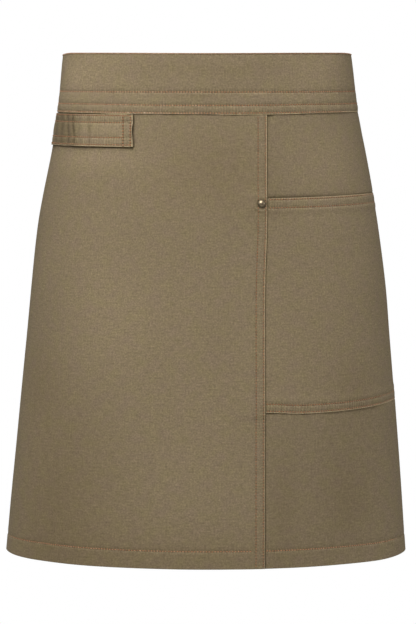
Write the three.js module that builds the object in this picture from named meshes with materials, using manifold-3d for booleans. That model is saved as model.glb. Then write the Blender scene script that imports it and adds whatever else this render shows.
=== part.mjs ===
// A half-length waist apron in the form that it has when worn: a folded waistband, a front panel lapped over
// a side panel, a patch pocket caught under the lap, a sewn strap on the left hip, a rivet at the pocket's
// corner and a plain strap that closes the waist behind.
// Millimetres, +Z up, the front faces -Y, and the origin is at the centre of the waist, half way up the band.
// A place on the cloth is an angle round the waist, 0 at the front and growing to the right, and a drop below
// the waistband's top edge. An offset is a distance outwards from the outer face of the panels.

import * as THREE from "three";
import { mergeVertices } from "three/addons/utils/BufferGeometryUtils.js";
import Module from "manifold-3d";

// Drops below the waistband's top edge
const LENGTH = 600;
const BAND_HEIGHT = 72.5;
const BAND_STEP = 46;
const PANEL_TOP = 48.5;
const HEM = 20;

// Cloth: one layer, the second layer of a turned hem, and the air between pieces
const CLOTH = 1;
const TURNING = 1.1;
const GAP = 0.35;

// The worn form: half widths to the left and right, and depths to the front and back, at each drop
const SECTIONS = [
  { drop: 0, left: 173, right: 170, front: 121, back: 104 },
  { drop: 70, left: 181, right: 178.5, front: 127, back: 112 },
  { drop: 115, left: 188, right: 188, front: 132, back: 122 },
  { drop: 165, left: 198, right: 198, front: 138, back: 135 },
  { drop: 205, left: 205, right: 204.5, front: 142, back: 141 },
  { drop: 280, left: 214, right: 214, front: 146, back: 146 },
  { drop: 400, left: 225.5, right: 224, front: 151, back: 149 },
  { drop: 515, left: 237, right: 233, front: 155, back: 151 },
  { drop: LENGTH, left: 245.3, right: 239.5, front: 158, back: 153 },
];

// Shallow flutes that grow from a starting drop down to the hem: angle and half width in degrees
const FLUTES = [
  { angle: -56, width: 15, depth: 4.5, start: 340 },
  { angle: 49, width: 14, depth: 4, start: 380 },
  { angle: -113, width: 11, depth: 7, start: 300 },
  { angle: 113, width: 11, depth: 7, start: 300 },
];

// Panels: the open back edges, and the lap of the front panel over the side panel
const BACK_EDGE = THREE.MathUtils.degToRad(127);
const LAP = 14;
const LAP_RAMP = 3.5;
const SIDE_TUCK = 13.5;
const SEAM = [
  { drop: 0, x: 70 },
  { drop: 170, x: 69.6 },
  { drop: 400, x: 66.8 },
  { drop: LENGTH, x: 66.9 },
];

// Pocket: a patch from under the lap round to the right side
const POCKET_MOUTH = 169.3;
const POCKET_MOUTH_RISE = 2.3;
const POCKET_BOTTOM = 420.5;
const POCKET_BOTTOM_RISE = 6;
const POCKET_TUCK = 12;
const POCKET_RIDGE = { clear: 2, slope: 4 };
const POCKET_EDGE = THREE.MathUtils.degToRad(112);
const POCKET_BULGE = 1.8;
const POCKET_BULGE_REACH = 90;

// Strap on the left hip
const LOOP_TOP = BAND_HEIGHT + 0.5;
const LOOP_WIDTH = 38;
const LOOP_THICKNESS = 1.6;
const LOOP_FRONT_X = -88;
const LOOP_BACK = THREE.MathUtils.degToRad(-119);
const LOOP_STAND_OFF = { top: 0.7, bottom: 1.7 };

// Waistband, and the strap behind
const BAND_WALL = 1;
const BAND_UPPER = { outer: 1, inner: -2 };
const BAND_TOP_ROUND = 1.3;
const BAND_STEP_SLOPE = 2;
const BAND_RIDGE = { clearLeft: 2, clearRight: 0.8, slopeRight: 3.2 };
const BAND_GROOVE_TOP = PANEL_TOP - 0.5;
const STRAP_WIDTH = 40;
const STRAP_THICKNESS = 2;
const STRAP_LAP = THREE.MathUtils.degToRad(10);

// Rivet between the two seam rows, at the pocket's corner
const RIVET_DROP = 176.6;
const RIVET_FROM_SEAM = 6.8;
const RIVET_CAP_RADIUS = 4.8;
const RIVET_POST_RADIUS = 1.5;
const RIVET_HOLE_RADIUS = 1.8;
const RIVET_SIDES = 20;
const RIVET_FOOT_RADIUS = 4;
const RIVET_FOOT_HEIGHT = 1;
const RIVET_DRILL_LENGTH = 20;

// Rivet cap above its seat: shares of the cap's radius, and heights
const RIVET_CAP = [
  { share: 1, height: 0 },
  { share: 1, height: 0.3 },
  { share: 0.86, height: 1.1 },
  { share: 0.66, height: 1.35 },
  { share: 0.46, height: 1 },
  { share: 0.26, height: 1.2 },
  { share: 0, height: 1.4 },
];

const WAIST_LEVEL = BAND_HEIGHT / 2;
const LAP_LIFT = CLOTH + GAP;
const POCKET_LIFT = CLOTH + GAP;
const { clamp, lerp, smoothstep, degToRad } = THREE.MathUtils;

// Smooth curve through one column of a table, read at a drop
function along(table, column, drop) {
  const last = table.length - 1;
  let row = 0;
  while (row < last - 1 && drop > table[row + 1].drop) row += 1;
  const slope = (i) => {
    const before = table[Math.max(i - 1, 0)];
    const after = table[Math.min(i + 1, last)];
    return (after[column] - before[column]) / (after.drop - before.drop);
  };
  const span = table[row + 1].drop - table[row].drop;
  const t = (drop - table[row].drop) / span;
  const near = (1 + 2 * t) * (1 - t) ** 2 * table[row][column] + t * (1 - t) ** 2 * span * slope(row);
  const far = t * t * (3 - 2 * t) * table[row + 1][column] - t * t * (1 - t) * span * slope(row + 1);
  return near + far;
}

const halfWidth = (side, drop) => along(SECTIONS, side < 0 ? "left" : "right", drop);
const seamX = (drop) => along(SEAM, "x", drop);
const angleAtX = (x, drop) => Math.asin(x / halfWidth(x, drop));

// How far the flutes draw the cloth in at a place
function fluteDepth(angle, drop) {
  let depth = 0;
  for (const flute of FLUTES) {
    const aside = (angle - degToRad(flute.angle)) / degToRad(flute.width);
    depth += flute.depth * Math.exp(-aside * aside) * smoothstep(drop, flute.start, LENGTH);
  }
  return depth;
}

// The panels' outer face
function formPoint(angle, drop) {
  const across = Math.sin(angle);
  const ahead = Math.cos(angle);
  const depth = along(SECTIONS, ahead > 0 ? "front" : "back", drop);
  const width = halfWidth(across, drop);
  const drawnIn = 1 - fluteDepth(angle, drop) / Math.hypot(width * across, depth * ahead);
  return new THREE.Vector3(width * across * drawnIn, -depth * ahead * drawnIn, WAIST_LEVEL - drop);
}

function outward(angle, drop) {
  const turn = 0.004;
  const fall = 1;
  const right = formPoint(angle + turn, drop).sub(formPoint(angle - turn, drop));
  const up = formPoint(angle, drop - fall).sub(formPoint(angle, drop + fall));
  return right.cross(up).normalize();
}

function clothPoint(angle, drop, offset) {
  return formPoint(angle, drop).addScaledVector(outward(angle, drop), offset);
}

function evenSteps(from, to, count) {
  return Array.from({ length: count + 1 }, (_, i) => lerp(from, to, i / count));
}

function geometryOf(points, triangles) {
  const geometry = new THREE.BufferGeometry().setFromPoints(points);
  geometry.setIndex(triangles);
  return geometry;
}

// A closed wall over a grid of columns and rows: place gives the angle and drop, outer and inner the offsets
function sheet({ columns, rows, place, outer, inner }) {
  const points = [];
  for (const face of [outer, inner]) {
    for (const row of rows) {
      for (const column of columns) {
        const { angle, drop } = place(column, row);
        points.push(clothPoint(angle, drop, face(column, angle, drop)));
      }
    }
  }
  const across = columns.length;
  const down = rows.length;
  const triangles = [];
  const quad = (a, b, c, d) => triangles.push(a, b, c, a, c, d);
  const front = (r, c) => r * across + c;
  const behind = (r, c) => (down + r) * across + c;
  for (let r = 0; r < down - 1; r += 1) {
    for (let c = 0; c < across - 1; c += 1) {
      quad(front(r, c), front(r + 1, c), front(r + 1, c + 1), front(r, c + 1));
      quad(behind(r, c), behind(r, c + 1), behind(r + 1, c + 1), behind(r + 1, c));
    }
  }
  for (let r = 0; r < down - 1; r += 1) {
    quad(front(r, across - 1), front(r + 1, across - 1), behind(r + 1, across - 1), behind(r, across - 1));
    quad(front(r + 1, 0), front(r, 0), behind(r, 0), behind(r + 1, 0));
  }
  for (let c = 0; c < across - 1; c += 1) {
    quad(front(0, c), front(0, c + 1), behind(0, c + 1), behind(0, c));
    quad(front(down - 1, c + 1), front(down - 1, c), behind(down - 1, c), behind(down - 1, c + 1));
  }
  return geometryOf(points, triangles);
}

// A closed band: each column has an outline of drops and offsets, up its outer face and down its inner
function sweep({ columns, angleAt, outline }) {
  const rings = columns.map(outline);
  const size = rings[0].length;
  const points = rings.flatMap((ring, i) =>
    ring.map(({ drop, offset }) => clothPoint(angleAt(columns[i], drop), drop, offset)),
  );
  const triangles = [];
  for (let i = 0; i < rings.length - 1; i += 1) {
    for (let k = 0; k < size; k += 1) {
      const next = (k + 1) % size;
      const [a, b, c, d] = [i * size + k, (i + 1) * size + k, (i + 1) * size + next, i * size + next];
      triangles.push(a, b, c, a, c, d);
    }
  }
  const flat = (ring) => ring.map(({ drop, offset }) => new THREE.Vector2(-drop, offset));
  const lastRing = (rings.length - 1) * size;
  for (const [ring, first, turned] of [[rings[0], 0, true], [rings.at(-1), lastRing, false]]) {
    const corners = flat(ring);
    for (const face of THREE.ShapeUtils.triangulateShape(corners, [])) {
      const counterClockwise = THREE.ShapeUtils.area(face.map((k) => corners[k])) > 0;
      const order = counterClockwise === turned ? [2, 1, 0] : [0, 1, 2];
      triangles.push(...order.map((k) => first + face[k]));
    }
  }
  return geometryOf(points, triangles);
}

// Joins and cuts on closed meshes
const wasm = await Module();
wasm.setup();

function solidOf(geometry) {
  const bare = geometry.clone();
  bare.deleteAttribute("normal");
  bare.deleteAttribute("uv");
  const merged = mergeVertices(bare, 1e-4);
  const vertProperties = new Float32Array(merged.attributes.position.array);
  const triVerts = new Uint32Array(merged.index.array);
  return new wasm.Manifold(new wasm.Mesh({ numProp: 3, vertProperties, triVerts }));
}

function geometryFrom(solid) {
  const { vertProperties, triVerts } = solid.getMesh();
  const geometry = new THREE.BufferGeometry();
  geometry.setAttribute("position", new THREE.BufferAttribute(vertProperties, 3));
  geometry.setIndex(new THREE.BufferAttribute(triVerts, 1));
  return geometry;
}

// Share of the pocket that lies under the lap at a drop, with a short slope at its mouth and at its bottom
const RIDGE_REACH = POCKET_RIDGE.clear + POCKET_RIDGE.slope;
const RIDGE_ROWS = [
  POCKET_MOUTH - RIDGE_REACH,
  POCKET_MOUTH - POCKET_RIDGE.clear,
  POCKET_BOTTOM + POCKET_RIDGE.clear,
  POCKET_BOTTOM + RIDGE_REACH,
];

function pocketUnderLap(drop) {
  const above = (drop - POCKET_MOUTH + RIDGE_REACH) / POCKET_RIDGE.slope;
  const below = (POCKET_BOTTOM + RIDGE_REACH - drop) / POCKET_RIDGE.slope;
  return clamp(Math.min(above, below), 0, 1);
}

// Front panel: columns 0 to 1 run from the left back edge to the lap, and 1 to 2 across the lap
const LAP_START = LAP + LAP_RAMP;
const LAP_RISEN = 1 + LAP_RAMP / LAP_START;

function frontAngle(column, drop) {
  const lapStart = angleAtX(seamX(drop) - LAP_START, drop);
  if (column <= 1) return lerp(-BACK_EDGE, lapStart, column);
  return angleAtX(seamX(drop) - LAP_START * (2 - column), drop);
}

function lapLift(column, drop) {
  const risen = clamp((column - 1) / (LAP_RISEN - 1), 0, 1);
  return risen * (LAP_LIFT + POCKET_LIFT * pocketUnderLap(drop));
}

// A second layer inside the bottom hem and the back edge's hem, clear of the band and of the lap
function turning(fromBackEdge, drop) {
  const bottom = clamp((drop - (LENGTH - HEM - 1)) / 2, 0, 1);
  const side = clamp((HEM + 1 - fromBackEdge) / 2, 0, 1) * clamp((drop - BAND_HEIGHT - 2) / 2, 0, 1);
  return TURNING * Math.max(bottom, side);
}

// Length along the cloth from the open back edge, near enough over a hem's width
function fromBackEdge(angle, drop) {
  const across = halfWidth(angle, drop) * Math.cos(BACK_EDGE);
  const backward = along(SECTIONS, "back", drop) * Math.sin(BACK_EDGE);
  return (BACK_EDGE - Math.abs(angle)) * Math.hypot(across, backward);
}

const HEM_ROWS = [LENGTH - HEM - 1, LENGTH - HEM + 1];
const BAND_ROWS = [BAND_HEIGHT + 2, BAND_HEIGHT + 4];
const SIDE_HEM_SHARES = [0.036, 0.052];

function rowsDown(count, extra) {
  const rows = [...evenSteps(PANEL_TOP, LENGTH, count), ...extra];
  rows.sort((a, b) => a - b);
  return rows.filter((row, i) => i === 0 || row - rows[i - 1] > 0.5);
}

function frontPanel() {
  const hemmed = (column, angle, drop) => (column < 0.99 ? turning(fromBackEdge(angle, drop), drop) : 0);
  return sheet({
    columns: [0, ...SIDE_HEM_SHARES, ...evenSteps(0.08, 0.98, 26), 1, LAP_RISEN, 1.6, 2],
    rows: rowsDown(18, [...BAND_ROWS, ...RIDGE_ROWS, ...HEM_ROWS]),
    place: (column, row) => ({ angle: frontAngle(column, row), drop: row }),
    outer: (column, angle, drop) => lapLift(column, drop),
    inner: (column, angle, drop) => lapLift(column, drop) - CLOTH - hemmed(column, angle, drop),
  });
}

// Side panel: columns 0 to 1 run from its edge under the lap to the right back edge
function sidePanel() {
  const start = (drop) => angleAtX(seamX(drop) - SIDE_TUCK, drop);
  const columns = [...evenSteps(0, 0.92, 20), 1 - SIDE_HEM_SHARES[1], 1 - SIDE_HEM_SHARES[0], 1];
  return sheet({
    columns,
    rows: rowsDown(18, [...BAND_ROWS, ...HEM_ROWS]),
    place: (column, row) => ({ angle: lerp(start(row), BACK_EDGE, column), drop: row }),
    outer: () => 0,
    inner: (column, angle, drop) => -CLOTH - turning(fromBackEdge(angle, drop), drop),
  });
}

// Pocket: rows 0 to 1 run from its mouth to its bottom
function pocketDrop(angle, row) {
  const mouth = POCKET_MOUTH - POCKET_MOUTH_RISE * smoothstep(angle, degToRad(20), degToRad(80));
  const bottom = POCKET_BOTTOM - POCKET_BOTTOM_RISE * smoothstep(angle, degToRad(40), degToRad(85));
  return lerp(mouth, bottom, row);
}

function pocketBulge(angle, drop) {
  const start = angleAtX(seamX(drop) + LAP_RAMP, drop);
  const share = clamp((angle - start) / (POCKET_EDGE - start), 0, 1);
  const open = Math.sin(Math.PI * Math.sqrt(share)) ** 2;
  return POCKET_BULGE * open * (1 - smoothstep(drop, POCKET_MOUTH, POCKET_MOUTH + POCKET_BULGE_REACH));
}

function pocket() {
  const inner = (column, angle, drop) => GAP + pocketBulge(angle, drop);
  return sheet({
    columns: evenSteps(0, 1, 20),
    rows: evenSteps(0, 1, 11),
    place: (column, row) => {
      const level = lerp(POCKET_MOUTH, POCKET_BOTTOM, row);
      const angle = lerp(angleAtX(seamX(level) - POCKET_TUCK, level), POCKET_EDGE, column);
      return { angle, drop: pocketDrop(angle, row) };
    },
    outer: (column, angle, drop) => inner(column, angle, drop) + CLOTH,
    inner,
  });
}

// Waistband: solid above the panels' top edges, and two walls either side of them below
function waistband() {
  const inBand = (PANEL_TOP + BAND_HEIGHT) / 2;
  const seam = seamX(inBand);
  const lapFoot = seam - LAP_START - BAND_RIDGE.clearLeft;
  const lapHead = seam - LAP - BAND_RIDGE.clearLeft;
  const edgeHead = seam + BAND_RIDGE.clearRight;
  const edgeFoot = edgeHead + BAND_RIDGE.slopeRight;
  const overLap = (angle) => {
    const x = halfWidth(angle, inBand) * Math.sin(angle);
    const share = Math.min((x - lapFoot) / (lapHead - lapFoot), (edgeFoot - x) / (edgeFoot - edgeHead));
    return Math.abs(angle) < Math.PI / 2 ? LAP_LIFT * clamp(share, 0, 1) : 0;
  };
  const lapAngles = [lapFoot, lapHead, edgeHead, edgeFoot].map((x) => angleAtX(x, inBand));
  const columns = [
    ...evenSteps(-BACK_EDGE, lapAngles[0], 27),
    ...lapAngles.slice(1),
    ...evenSteps(lapAngles[3], BACK_EDGE, 20).slice(1),
  ];
  const { outer: upperOuter, inner: upperInner } = BAND_UPPER;
  const middle = (upperOuter + upperInner) / 2;
  const outline = (angle) => {
    const grooveOuter = GAP + overLap(angle);
    const grooveInner = -CLOTH - GAP;
    return [
      { drop: BAND_HEIGHT, offset: grooveOuter },
      { drop: BAND_HEIGHT, offset: grooveOuter + BAND_WALL },
      { drop: BAND_STEP, offset: grooveOuter + BAND_WALL },
      { drop: BAND_STEP - BAND_STEP_SLOPE, offset: upperOuter },
      { drop: BAND_TOP_ROUND, offset: upperOuter },
      { drop: BAND_TOP_ROUND * 0.2, offset: upperOuter - BAND_TOP_ROUND * 0.5 },
      { drop: 0, offset: middle },
      { drop: BAND_TOP_ROUND * 0.2, offset: upperInner + BAND_TOP_ROUND * 0.5 },
      { drop: BAND_TOP_ROUND, offset: upperInner },
      { drop: BAND_STEP - BAND_STEP_SLOPE, offset: upperInner },
      { drop: BAND_STEP, offset: grooveInner - BAND_WALL },
      { drop: BAND_HEIGHT, offset: grooveInner - BAND_WALL },
      { drop: BAND_HEIGHT, offset: grooveInner },
      { drop: BAND_GROOVE_TOP, offset: grooveInner },
      { drop: BAND_GROOVE_TOP, offset: grooveOuter },
    ];
  };
  return sweep({ columns, angleAt: (column) => column, outline });
}

// Strap on the left hip: sewn flat at both ends, standing off the cloth between them
function sideLoop() {
  const bottom = LOOP_TOP + LOOP_WIDTH;
  const outline = (column) => {
    const free = Math.sin(Math.PI * clamp((column - 0.06) / 0.88, 0, 1)) ** 1.5;
    const rows = evenSteps(LOOP_TOP, bottom, 2).map((drop) => {
      const share = (drop - LOOP_TOP) / LOOP_WIDTH;
      const standOff = free * lerp(LOOP_STAND_OFF.top, LOOP_STAND_OFF.bottom, share);
      return { drop, offset: GAP + standOff };
    });
    const outerRows = rows.map(({ drop, offset }) => ({ drop, offset: offset + LOOP_THICKNESS }));
    return [...outerRows.reverse(), ...rows];
  };
  return sweep({
    columns: evenSteps(0, 1, 20),
    angleAt: (column, drop) => lerp(LOOP_BACK, angleAtX(LOOP_FRONT_X, drop), column),
    outline,
  });
}

// Plain strap behind, lapped inside both ends of the waistband
function backStrap() {
  const outer = -CLOTH - GAP - BAND_WALL - GAP;
  const top = WAIST_LEVEL - STRAP_WIDTH / 2;
  const levels = evenSteps(top, top + STRAP_WIDTH, 2);
  const face = (offset) => levels.map((drop) => ({ drop, offset }));
  const start = BACK_EDGE - STRAP_LAP;
  return sweep({
    columns: evenSteps(start, 2 * Math.PI - start, 24),
    angleAt: (column) => column,
    outline: () => [...face(outer).reverse(), ...face(outer - STRAP_THICKNESS)],
  });
}

// Rivet: a domed cap with a raised ring, a post through the three layers of cloth, and a flat foot
const RIVET_ANGLE = angleAtX(seamX(RIVET_DROP) - RIVET_FROM_SEAM, RIVET_DROP);
const RIVET_PLACE = formPoint(RIVET_ANGLE, RIVET_DROP);
const RIVET_TURN = new THREE.Quaternion().setFromUnitVectors(
  new THREE.Vector3(0, 1, 0),
  outward(RIVET_ANGLE, RIVET_DROP),
);

function rivet() {
  const foot = -CLOTH - GAP;
  const seat = LAP_LIFT + POCKET_LIFT + GAP;
  const profile = [
    new THREE.Vector2(0, foot - RIVET_FOOT_HEIGHT),
    new THREE.Vector2(RIVET_FOOT_RADIUS, foot - RIVET_FOOT_HEIGHT),
    new THREE.Vector2(RIVET_FOOT_RADIUS, foot),
    new THREE.Vector2(RIVET_POST_RADIUS, foot),
    new THREE.Vector2(RIVET_POST_RADIUS, seat),
    ...RIVET_CAP.map(({ share, height }) => new THREE.Vector2(RIVET_CAP_RADIUS * share, seat + height)),
  ];
  return new THREE.LatheGeometry(profile, RIVET_SIDES);
}

function drilled(geometry) {
  const drill = new THREE.CylinderGeometry(
    RIVET_HOLE_RADIUS,
    RIVET_HOLE_RADIUS,
    RIVET_DRILL_LENGTH,
    RIVET_SIDES,
  );
  drill.applyQuaternion(RIVET_TURN).translate(...RIVET_PLACE.toArray());
  return geometryFrom(solidOf(geometry).subtract(solidOf(drill)));
}

// The assembly
const twill = { color: 0x82745b, roughness: 0.92, metalness: 0 };
const twillShade = { color: 0x766650, roughness: 0.92, metalness: 0 };
const brass = { color: 0x7b6544, roughness: 0.38, metalness: 1 };

function piece(name, geometry, look) {
  geometry.computeVertexNormals();
  const mesh = new THREE.Mesh(geometry, new THREE.MeshStandardMaterial(look));
  mesh.name = name;
  return mesh;
}

const rivetPiece = piece("rivet", rivet(), brass);
rivetPiece.position.copy(RIVET_PLACE);
rivetPiece.quaternion.copy(RIVET_TURN);

const apron = new THREE.Group();
apron.add(
  piece("waistband", waistband(), twill),
  piece("front_panel", drilled(frontPanel()), twill),
  piece("side_panel", drilled(sidePanel()), twillShade),
  piece("pocket", drilled(pocket()), twill),
  piece("side_loop", sideLoop(), twill),
  piece("back_strap", backStrap(), twill),
  rivetPiece,
);

export default apron;
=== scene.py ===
import math

import bpy
import numpy as np
from bpy.props import FloatProperty, FloatVectorProperty, PointerProperty
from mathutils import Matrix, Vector


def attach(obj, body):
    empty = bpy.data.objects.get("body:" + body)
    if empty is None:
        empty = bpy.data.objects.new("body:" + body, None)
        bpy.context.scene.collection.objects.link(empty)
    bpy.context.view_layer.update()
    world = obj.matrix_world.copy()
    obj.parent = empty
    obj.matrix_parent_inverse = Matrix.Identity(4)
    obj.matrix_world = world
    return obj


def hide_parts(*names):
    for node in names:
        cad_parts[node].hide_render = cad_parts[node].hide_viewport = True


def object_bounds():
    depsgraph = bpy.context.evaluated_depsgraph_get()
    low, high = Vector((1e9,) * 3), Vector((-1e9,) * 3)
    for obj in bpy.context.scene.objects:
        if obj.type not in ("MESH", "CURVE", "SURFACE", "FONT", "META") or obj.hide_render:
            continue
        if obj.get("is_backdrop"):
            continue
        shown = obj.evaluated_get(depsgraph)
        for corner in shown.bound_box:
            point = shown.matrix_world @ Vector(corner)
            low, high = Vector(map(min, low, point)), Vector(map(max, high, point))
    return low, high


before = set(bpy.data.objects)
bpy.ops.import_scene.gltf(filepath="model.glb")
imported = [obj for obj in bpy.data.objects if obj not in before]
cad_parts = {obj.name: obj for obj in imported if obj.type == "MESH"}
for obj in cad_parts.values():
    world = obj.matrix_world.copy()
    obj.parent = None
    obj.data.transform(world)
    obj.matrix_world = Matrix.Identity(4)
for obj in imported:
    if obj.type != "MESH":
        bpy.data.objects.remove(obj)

CAD_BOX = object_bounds()

bl_info = {
    "name": "Waist Apron",
    "version": (1, 0, 0),
    "blender": (4, 5, 0),
    "location": "View3D > Sidebar > Apron",
    "description": "Dresses the worn waist apron with cloth, turned edges, stitches and a rivet",
    "category": "Object",
}

# Lengths on the cloth are in millimetres: an angle round the waist, 0 at the front and growing to the right,
# a drop below the waistband's top edge, and an offset outwards from the outer face of the panels.
MM = 0.001
LENGTH = 600.7
BAND_HEIGHT = 72.5
BAND_STEP = 46.0
PANEL_TOP = 48.5
HEM = 20.7
WAIST_LEVEL = BAND_HEIGHT / 2
BACK_EDGE = math.radians(127)


def table(columns, *rows):
    """Rows of values under named columns, each as a dictionary."""
    names = columns.split()
    return [dict(zip(names, row)) for row in rows]


# The worn form: half widths to the left and right, and depths to the front and back, at each drop
SECTIONS = table(
    "drop left right front back",
    (0, 172.6, 170.3, 121, 104),
    (70, 179.6, 179.3, 127, 112),
    (115, 187.3, 188.8, 132, 122),
    (165, 197.4, 198.6, 138, 135),
    (205, 204, 205.6, 142, 141),
    (280, 212.1, 214.1, 146, 146),
    (340, 218.2, 218.8, 148.6, 147.6),
    (400, 224.6, 224.8, 151, 149),
    (515, 237.4, 232.7, 155, 151),
    (LENGTH, 244.5, 238.6, 158, 153),
)

# Shallow flutes that grow from a starting drop down to the hem: angle and half width in degrees
FLUTES = table(
    "angle width depth start",
    (-56, 15, 4.5, 340),
    (49, 14, 4.0, 380),
    (-113, 11, 7.0, 300),
    (113, 11, 7.0, 300),
)

# Slack of hung cloth: waves round the body and down it, in radians per radian and per 100 mm
SLACK = table(
    "around down phase depth",
    (5.0, 1.1, 0.4, 0.55),
    (-8.0, 1.9, 2.1, 0.32),
    (12.0, 0.8, 4.4, 0.20),
    (3.0, -3.4, 1.3, 0.22),
)
SLACK_GROWS = 110.0

# The lap of the front panel over the side panel, and its rows of stitches in from the edge
SEAM = table(
    "drop x",
    (0, 68.3),
    (190, 68.3),
    (220, 67.9),
    (250, 66.9),
    (285, 66.25),
    (320, 66.1),
    (LENGTH, 66.05),
)
LAP = 13.0
LAP_RAMP = 30.0
LAP_ZONE = 48.0
LAP_ROWS = (1.7, 10.25)
SIDE_TUCK = 12.5
FAR = 400.0

# Pocket, and its rows in from its edges
POCKET_MOUTH = 169.3
POCKET_MOUTH_RISE = 2.3
POCKET_BOTTOM = 420.5
POCKET_BOTTOM_RISES = {"lap": 2.2, "hip": 4.8}
POCKET_TUCK = 11.0
POCKET_EDGE = math.radians(112)
MOUTH_ROWS = (1.3, 10.9)
BOTTOM_ROWS = (1.65, 9.7)
MOUTH_TURN = 16.0
POCKET_TURN = 13.0
POCKET_BULGE = 0.9

# Waistband: its lower edge, and its rows below its top edge, which falls a little at the hips
BAND_EDGE = 71.8
BAND_ROWS = (45.7, 61.2, 70.2)
BAND_ROW_RISES = dict(zip(BAND_ROWS, (-0.1, 0.9, 0.8)))
TOP_ROW = 0.7
TOP_FOLD = 1.1
CORNER_FALL = {"left": 2.3, "right": 1.7}
BAND_OUTER = {"top": 0.75, "spread": 0.3}
BAND_INNER = {"top": 1.5, "spread": 0.45}

# Strap on the left hip, and its rows below its top edge and back from its front end
LOOP_TOP = BAND_EDGE + 0.1
LOOP_WIDTH = 38.0
LOOP_THICKNESS = 1.3
LOOP_FRONT_X = -87.3
LOOP_BACK = math.radians(-119)
LOOP_CUT = 0.9992
LOOP_ROWS = (1.5, 9.6, 27.2, 35.7)
LOOP_END_ROWS = (2.6, 11.2)

# Plain strap behind
STRAP_WIDTH = 40.0
STRAP_THICKNESS = 2.0
STRAP_ROWS = (3.0, 37.0)
STRAP_TOP = WAIST_LEVEL - STRAP_WIDTH / 2
STRAP_START = BACK_EDGE - math.radians(10)
STRAP_OUTER = -2.75
STRAP_REACH = 330.0

# Rivet at the pocket's corner
RIVET_DROP = 175.3
RIVET_FROM_SEAM = 6.3
RIVET_RADIUS = 4.8

# Layers of cloth
CLOTH = 0.5
AIR = 0.1
TURN_RADIUS = 0.32
PANEL = -CLOTH / 2
TURNED = 2 * TURN_RADIUS
LAP_RISE = CLOTH + AIR + TURNED
POCKET_LAYER = AIR + CLOTH / 2
BACK_ROW = HEM - 2.0
HEM_ROW = LENGTH - HEM

# How much paler the folded edges are, partly by wear and partly by a painted highlight,
# and how much painted shade darkens the cloth in the narrow gaps beside the layers
EDGE_WEAR_AND_HIGHLIGHT = {
    "band": 0.9, "pocket_mouth": 0.5, "pocket_bottom": 0.75,
    "strap_top": 0.2, "strap_bottom": 0.5, "strap_end": 0.75,
}
EDGE_WEAR_AND_HIGHLIGHT_WIDTH = 0.8
GAP_SHADE = {
    "strap_end": 0.6, "under_strap": 0.3, "band_left": 0.7, "band_right": 0.2,
    "lap_side": 0.7, "lap_pocket": 0.65, "under_pocket": 0.12, "rivet": 0.3,
}

# What rows of stitches draw in: their grooves, and waves of small gathers beside them
GROOVE = {"depth": 0.28, "width": 1.1, "gathers": 0.08}
LEVEL_GROOVE = {"depth": 0.42, "above": 3.2, "below": 1.5}
BAND_GROOVE_ABOVE = 2.2
GATHER_REACH = 4.6
GATHERS = table(
    "length phase share",
    (1.9, 0.0, 1.0),
    (3.1, 1.0, 0.7),
    (5.3, 2.0, 0.6),
)

# Mean radii, which turn an angle into a length along a row of stitches
HIP_RADIUS = 190
WAIST_RADIUS = 150


class ApronSizes(bpy.types.PropertyGroup):
    """Sizes that a user would change"""

    stitch_pitch: FloatProperty(
        name="Stitch pitch", description="Distance from one stitch to the next",
        default=3.4 * MM, min=1 * MM, max=8 * MM, unit="LENGTH", precision=5)
    stitch_length: FloatProperty(
        name="Stitch length", description="Length of thread that shows in one stitch",
        default=2.9 * MM, min=0.5 * MM, max=8 * MM, unit="LENGTH", precision=5)
    thread_radius: FloatProperty(
        name="Thread radius", description="Half the thickness of the sewing thread",
        default=0.6 * MM, min=0.1 * MM, max=1 * MM, unit="LENGTH", precision=5)
    weave: FloatProperty(
        name="Weave", description="Distance between the twill's diagonal ribs",
        default=0.9 * MM, min=0.3 * MM, max=4 * MM, unit="LENGTH", precision=5)
    camera_distance: FloatProperty(
        name="Camera distance", description="From the camera to the middle of the apron, along Y",
        default=4.0, min=1.0, max=10.0, unit="LENGTH")


class ApronColours(bpy.types.PropertyGroup):
    """Colours that a user would change"""

    olive: FloatVectorProperty(
        name="Olive", description="Greener tone of the twill", subtype="COLOR", size=3,
        default=(0.235, 0.185, 0.103), min=0, max=1)
    khaki: FloatVectorProperty(
        name="Khaki", description="Browner tone of the twill", subtype="COLOR", size=3,
        default=(0.234, 0.1765, 0.1125), min=0, max=1)
    thread: FloatVectorProperty(
        name="Thread", description="Rust sewing thread", subtype="COLOR", size=3,
        default=(0.33, 0.147, 0.054), min=0, max=1)
    brass: FloatVectorProperty(
        name="Brass", description="Antique brass of the rivet", subtype="COLOR", size=3,
        default=(0.47, 0.37, 0.24), min=0, max=1)
    floor: FloatVectorProperty(
        name="Floor", description="Pale studio floor", subtype="COLOR", size=3,
        default=(0.86, 0.86, 0.85), min=0, max=1)


# The worn form

def ease(value, low, high):
    """From 0 at the low value to 1 at the high one, level at both."""
    t = np.clip((value - low) / (high - low), 0, 1)
    return t * t * (3 - 2 * t)


def ease_degrees(angle, low, high):
    return ease(np.degrees(angle), low, high)


def bell(distance, width):
    return np.exp(-(distance / width) ** 2)


def along(rows, column, drop):
    """Smooth curve through one column of a table, read at many drops."""
    drops = np.array([row["drop"] for row in rows], float)
    values = np.array([row[column] for row in rows], float)
    last = len(drops) - 1
    before = np.maximum(np.arange(last + 1) - 1, 0)
    after = np.minimum(np.arange(last + 1) + 1, last)
    slopes = (values[after] - values[before]) / (drops[after] - drops[before])
    drop = np.asarray(drop, float)
    row = np.clip(np.searchsorted(drops, drop) - 1, 0, last - 1)
    span = drops[row + 1] - drops[row]
    t = (drop - drops[row]) / span
    near = (1 + 2 * t) * (1 - t) ** 2 * values[row] + t * (1 - t) ** 2 * span * slopes[row]
    far = t * t * (3 - 2 * t) * values[row + 1] - t * t * (1 - t) * span * slopes[row + 1]
    return near + far


def half_width(side, drop):
    return np.where(np.asarray(side) < 0, along(SECTIONS, "left", drop), along(SECTIONS, "right", drop))


def half_depth(ahead, drop):
    return np.where(ahead > 0, along(SECTIONS, "front", drop), along(SECTIONS, "back", drop))


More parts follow.
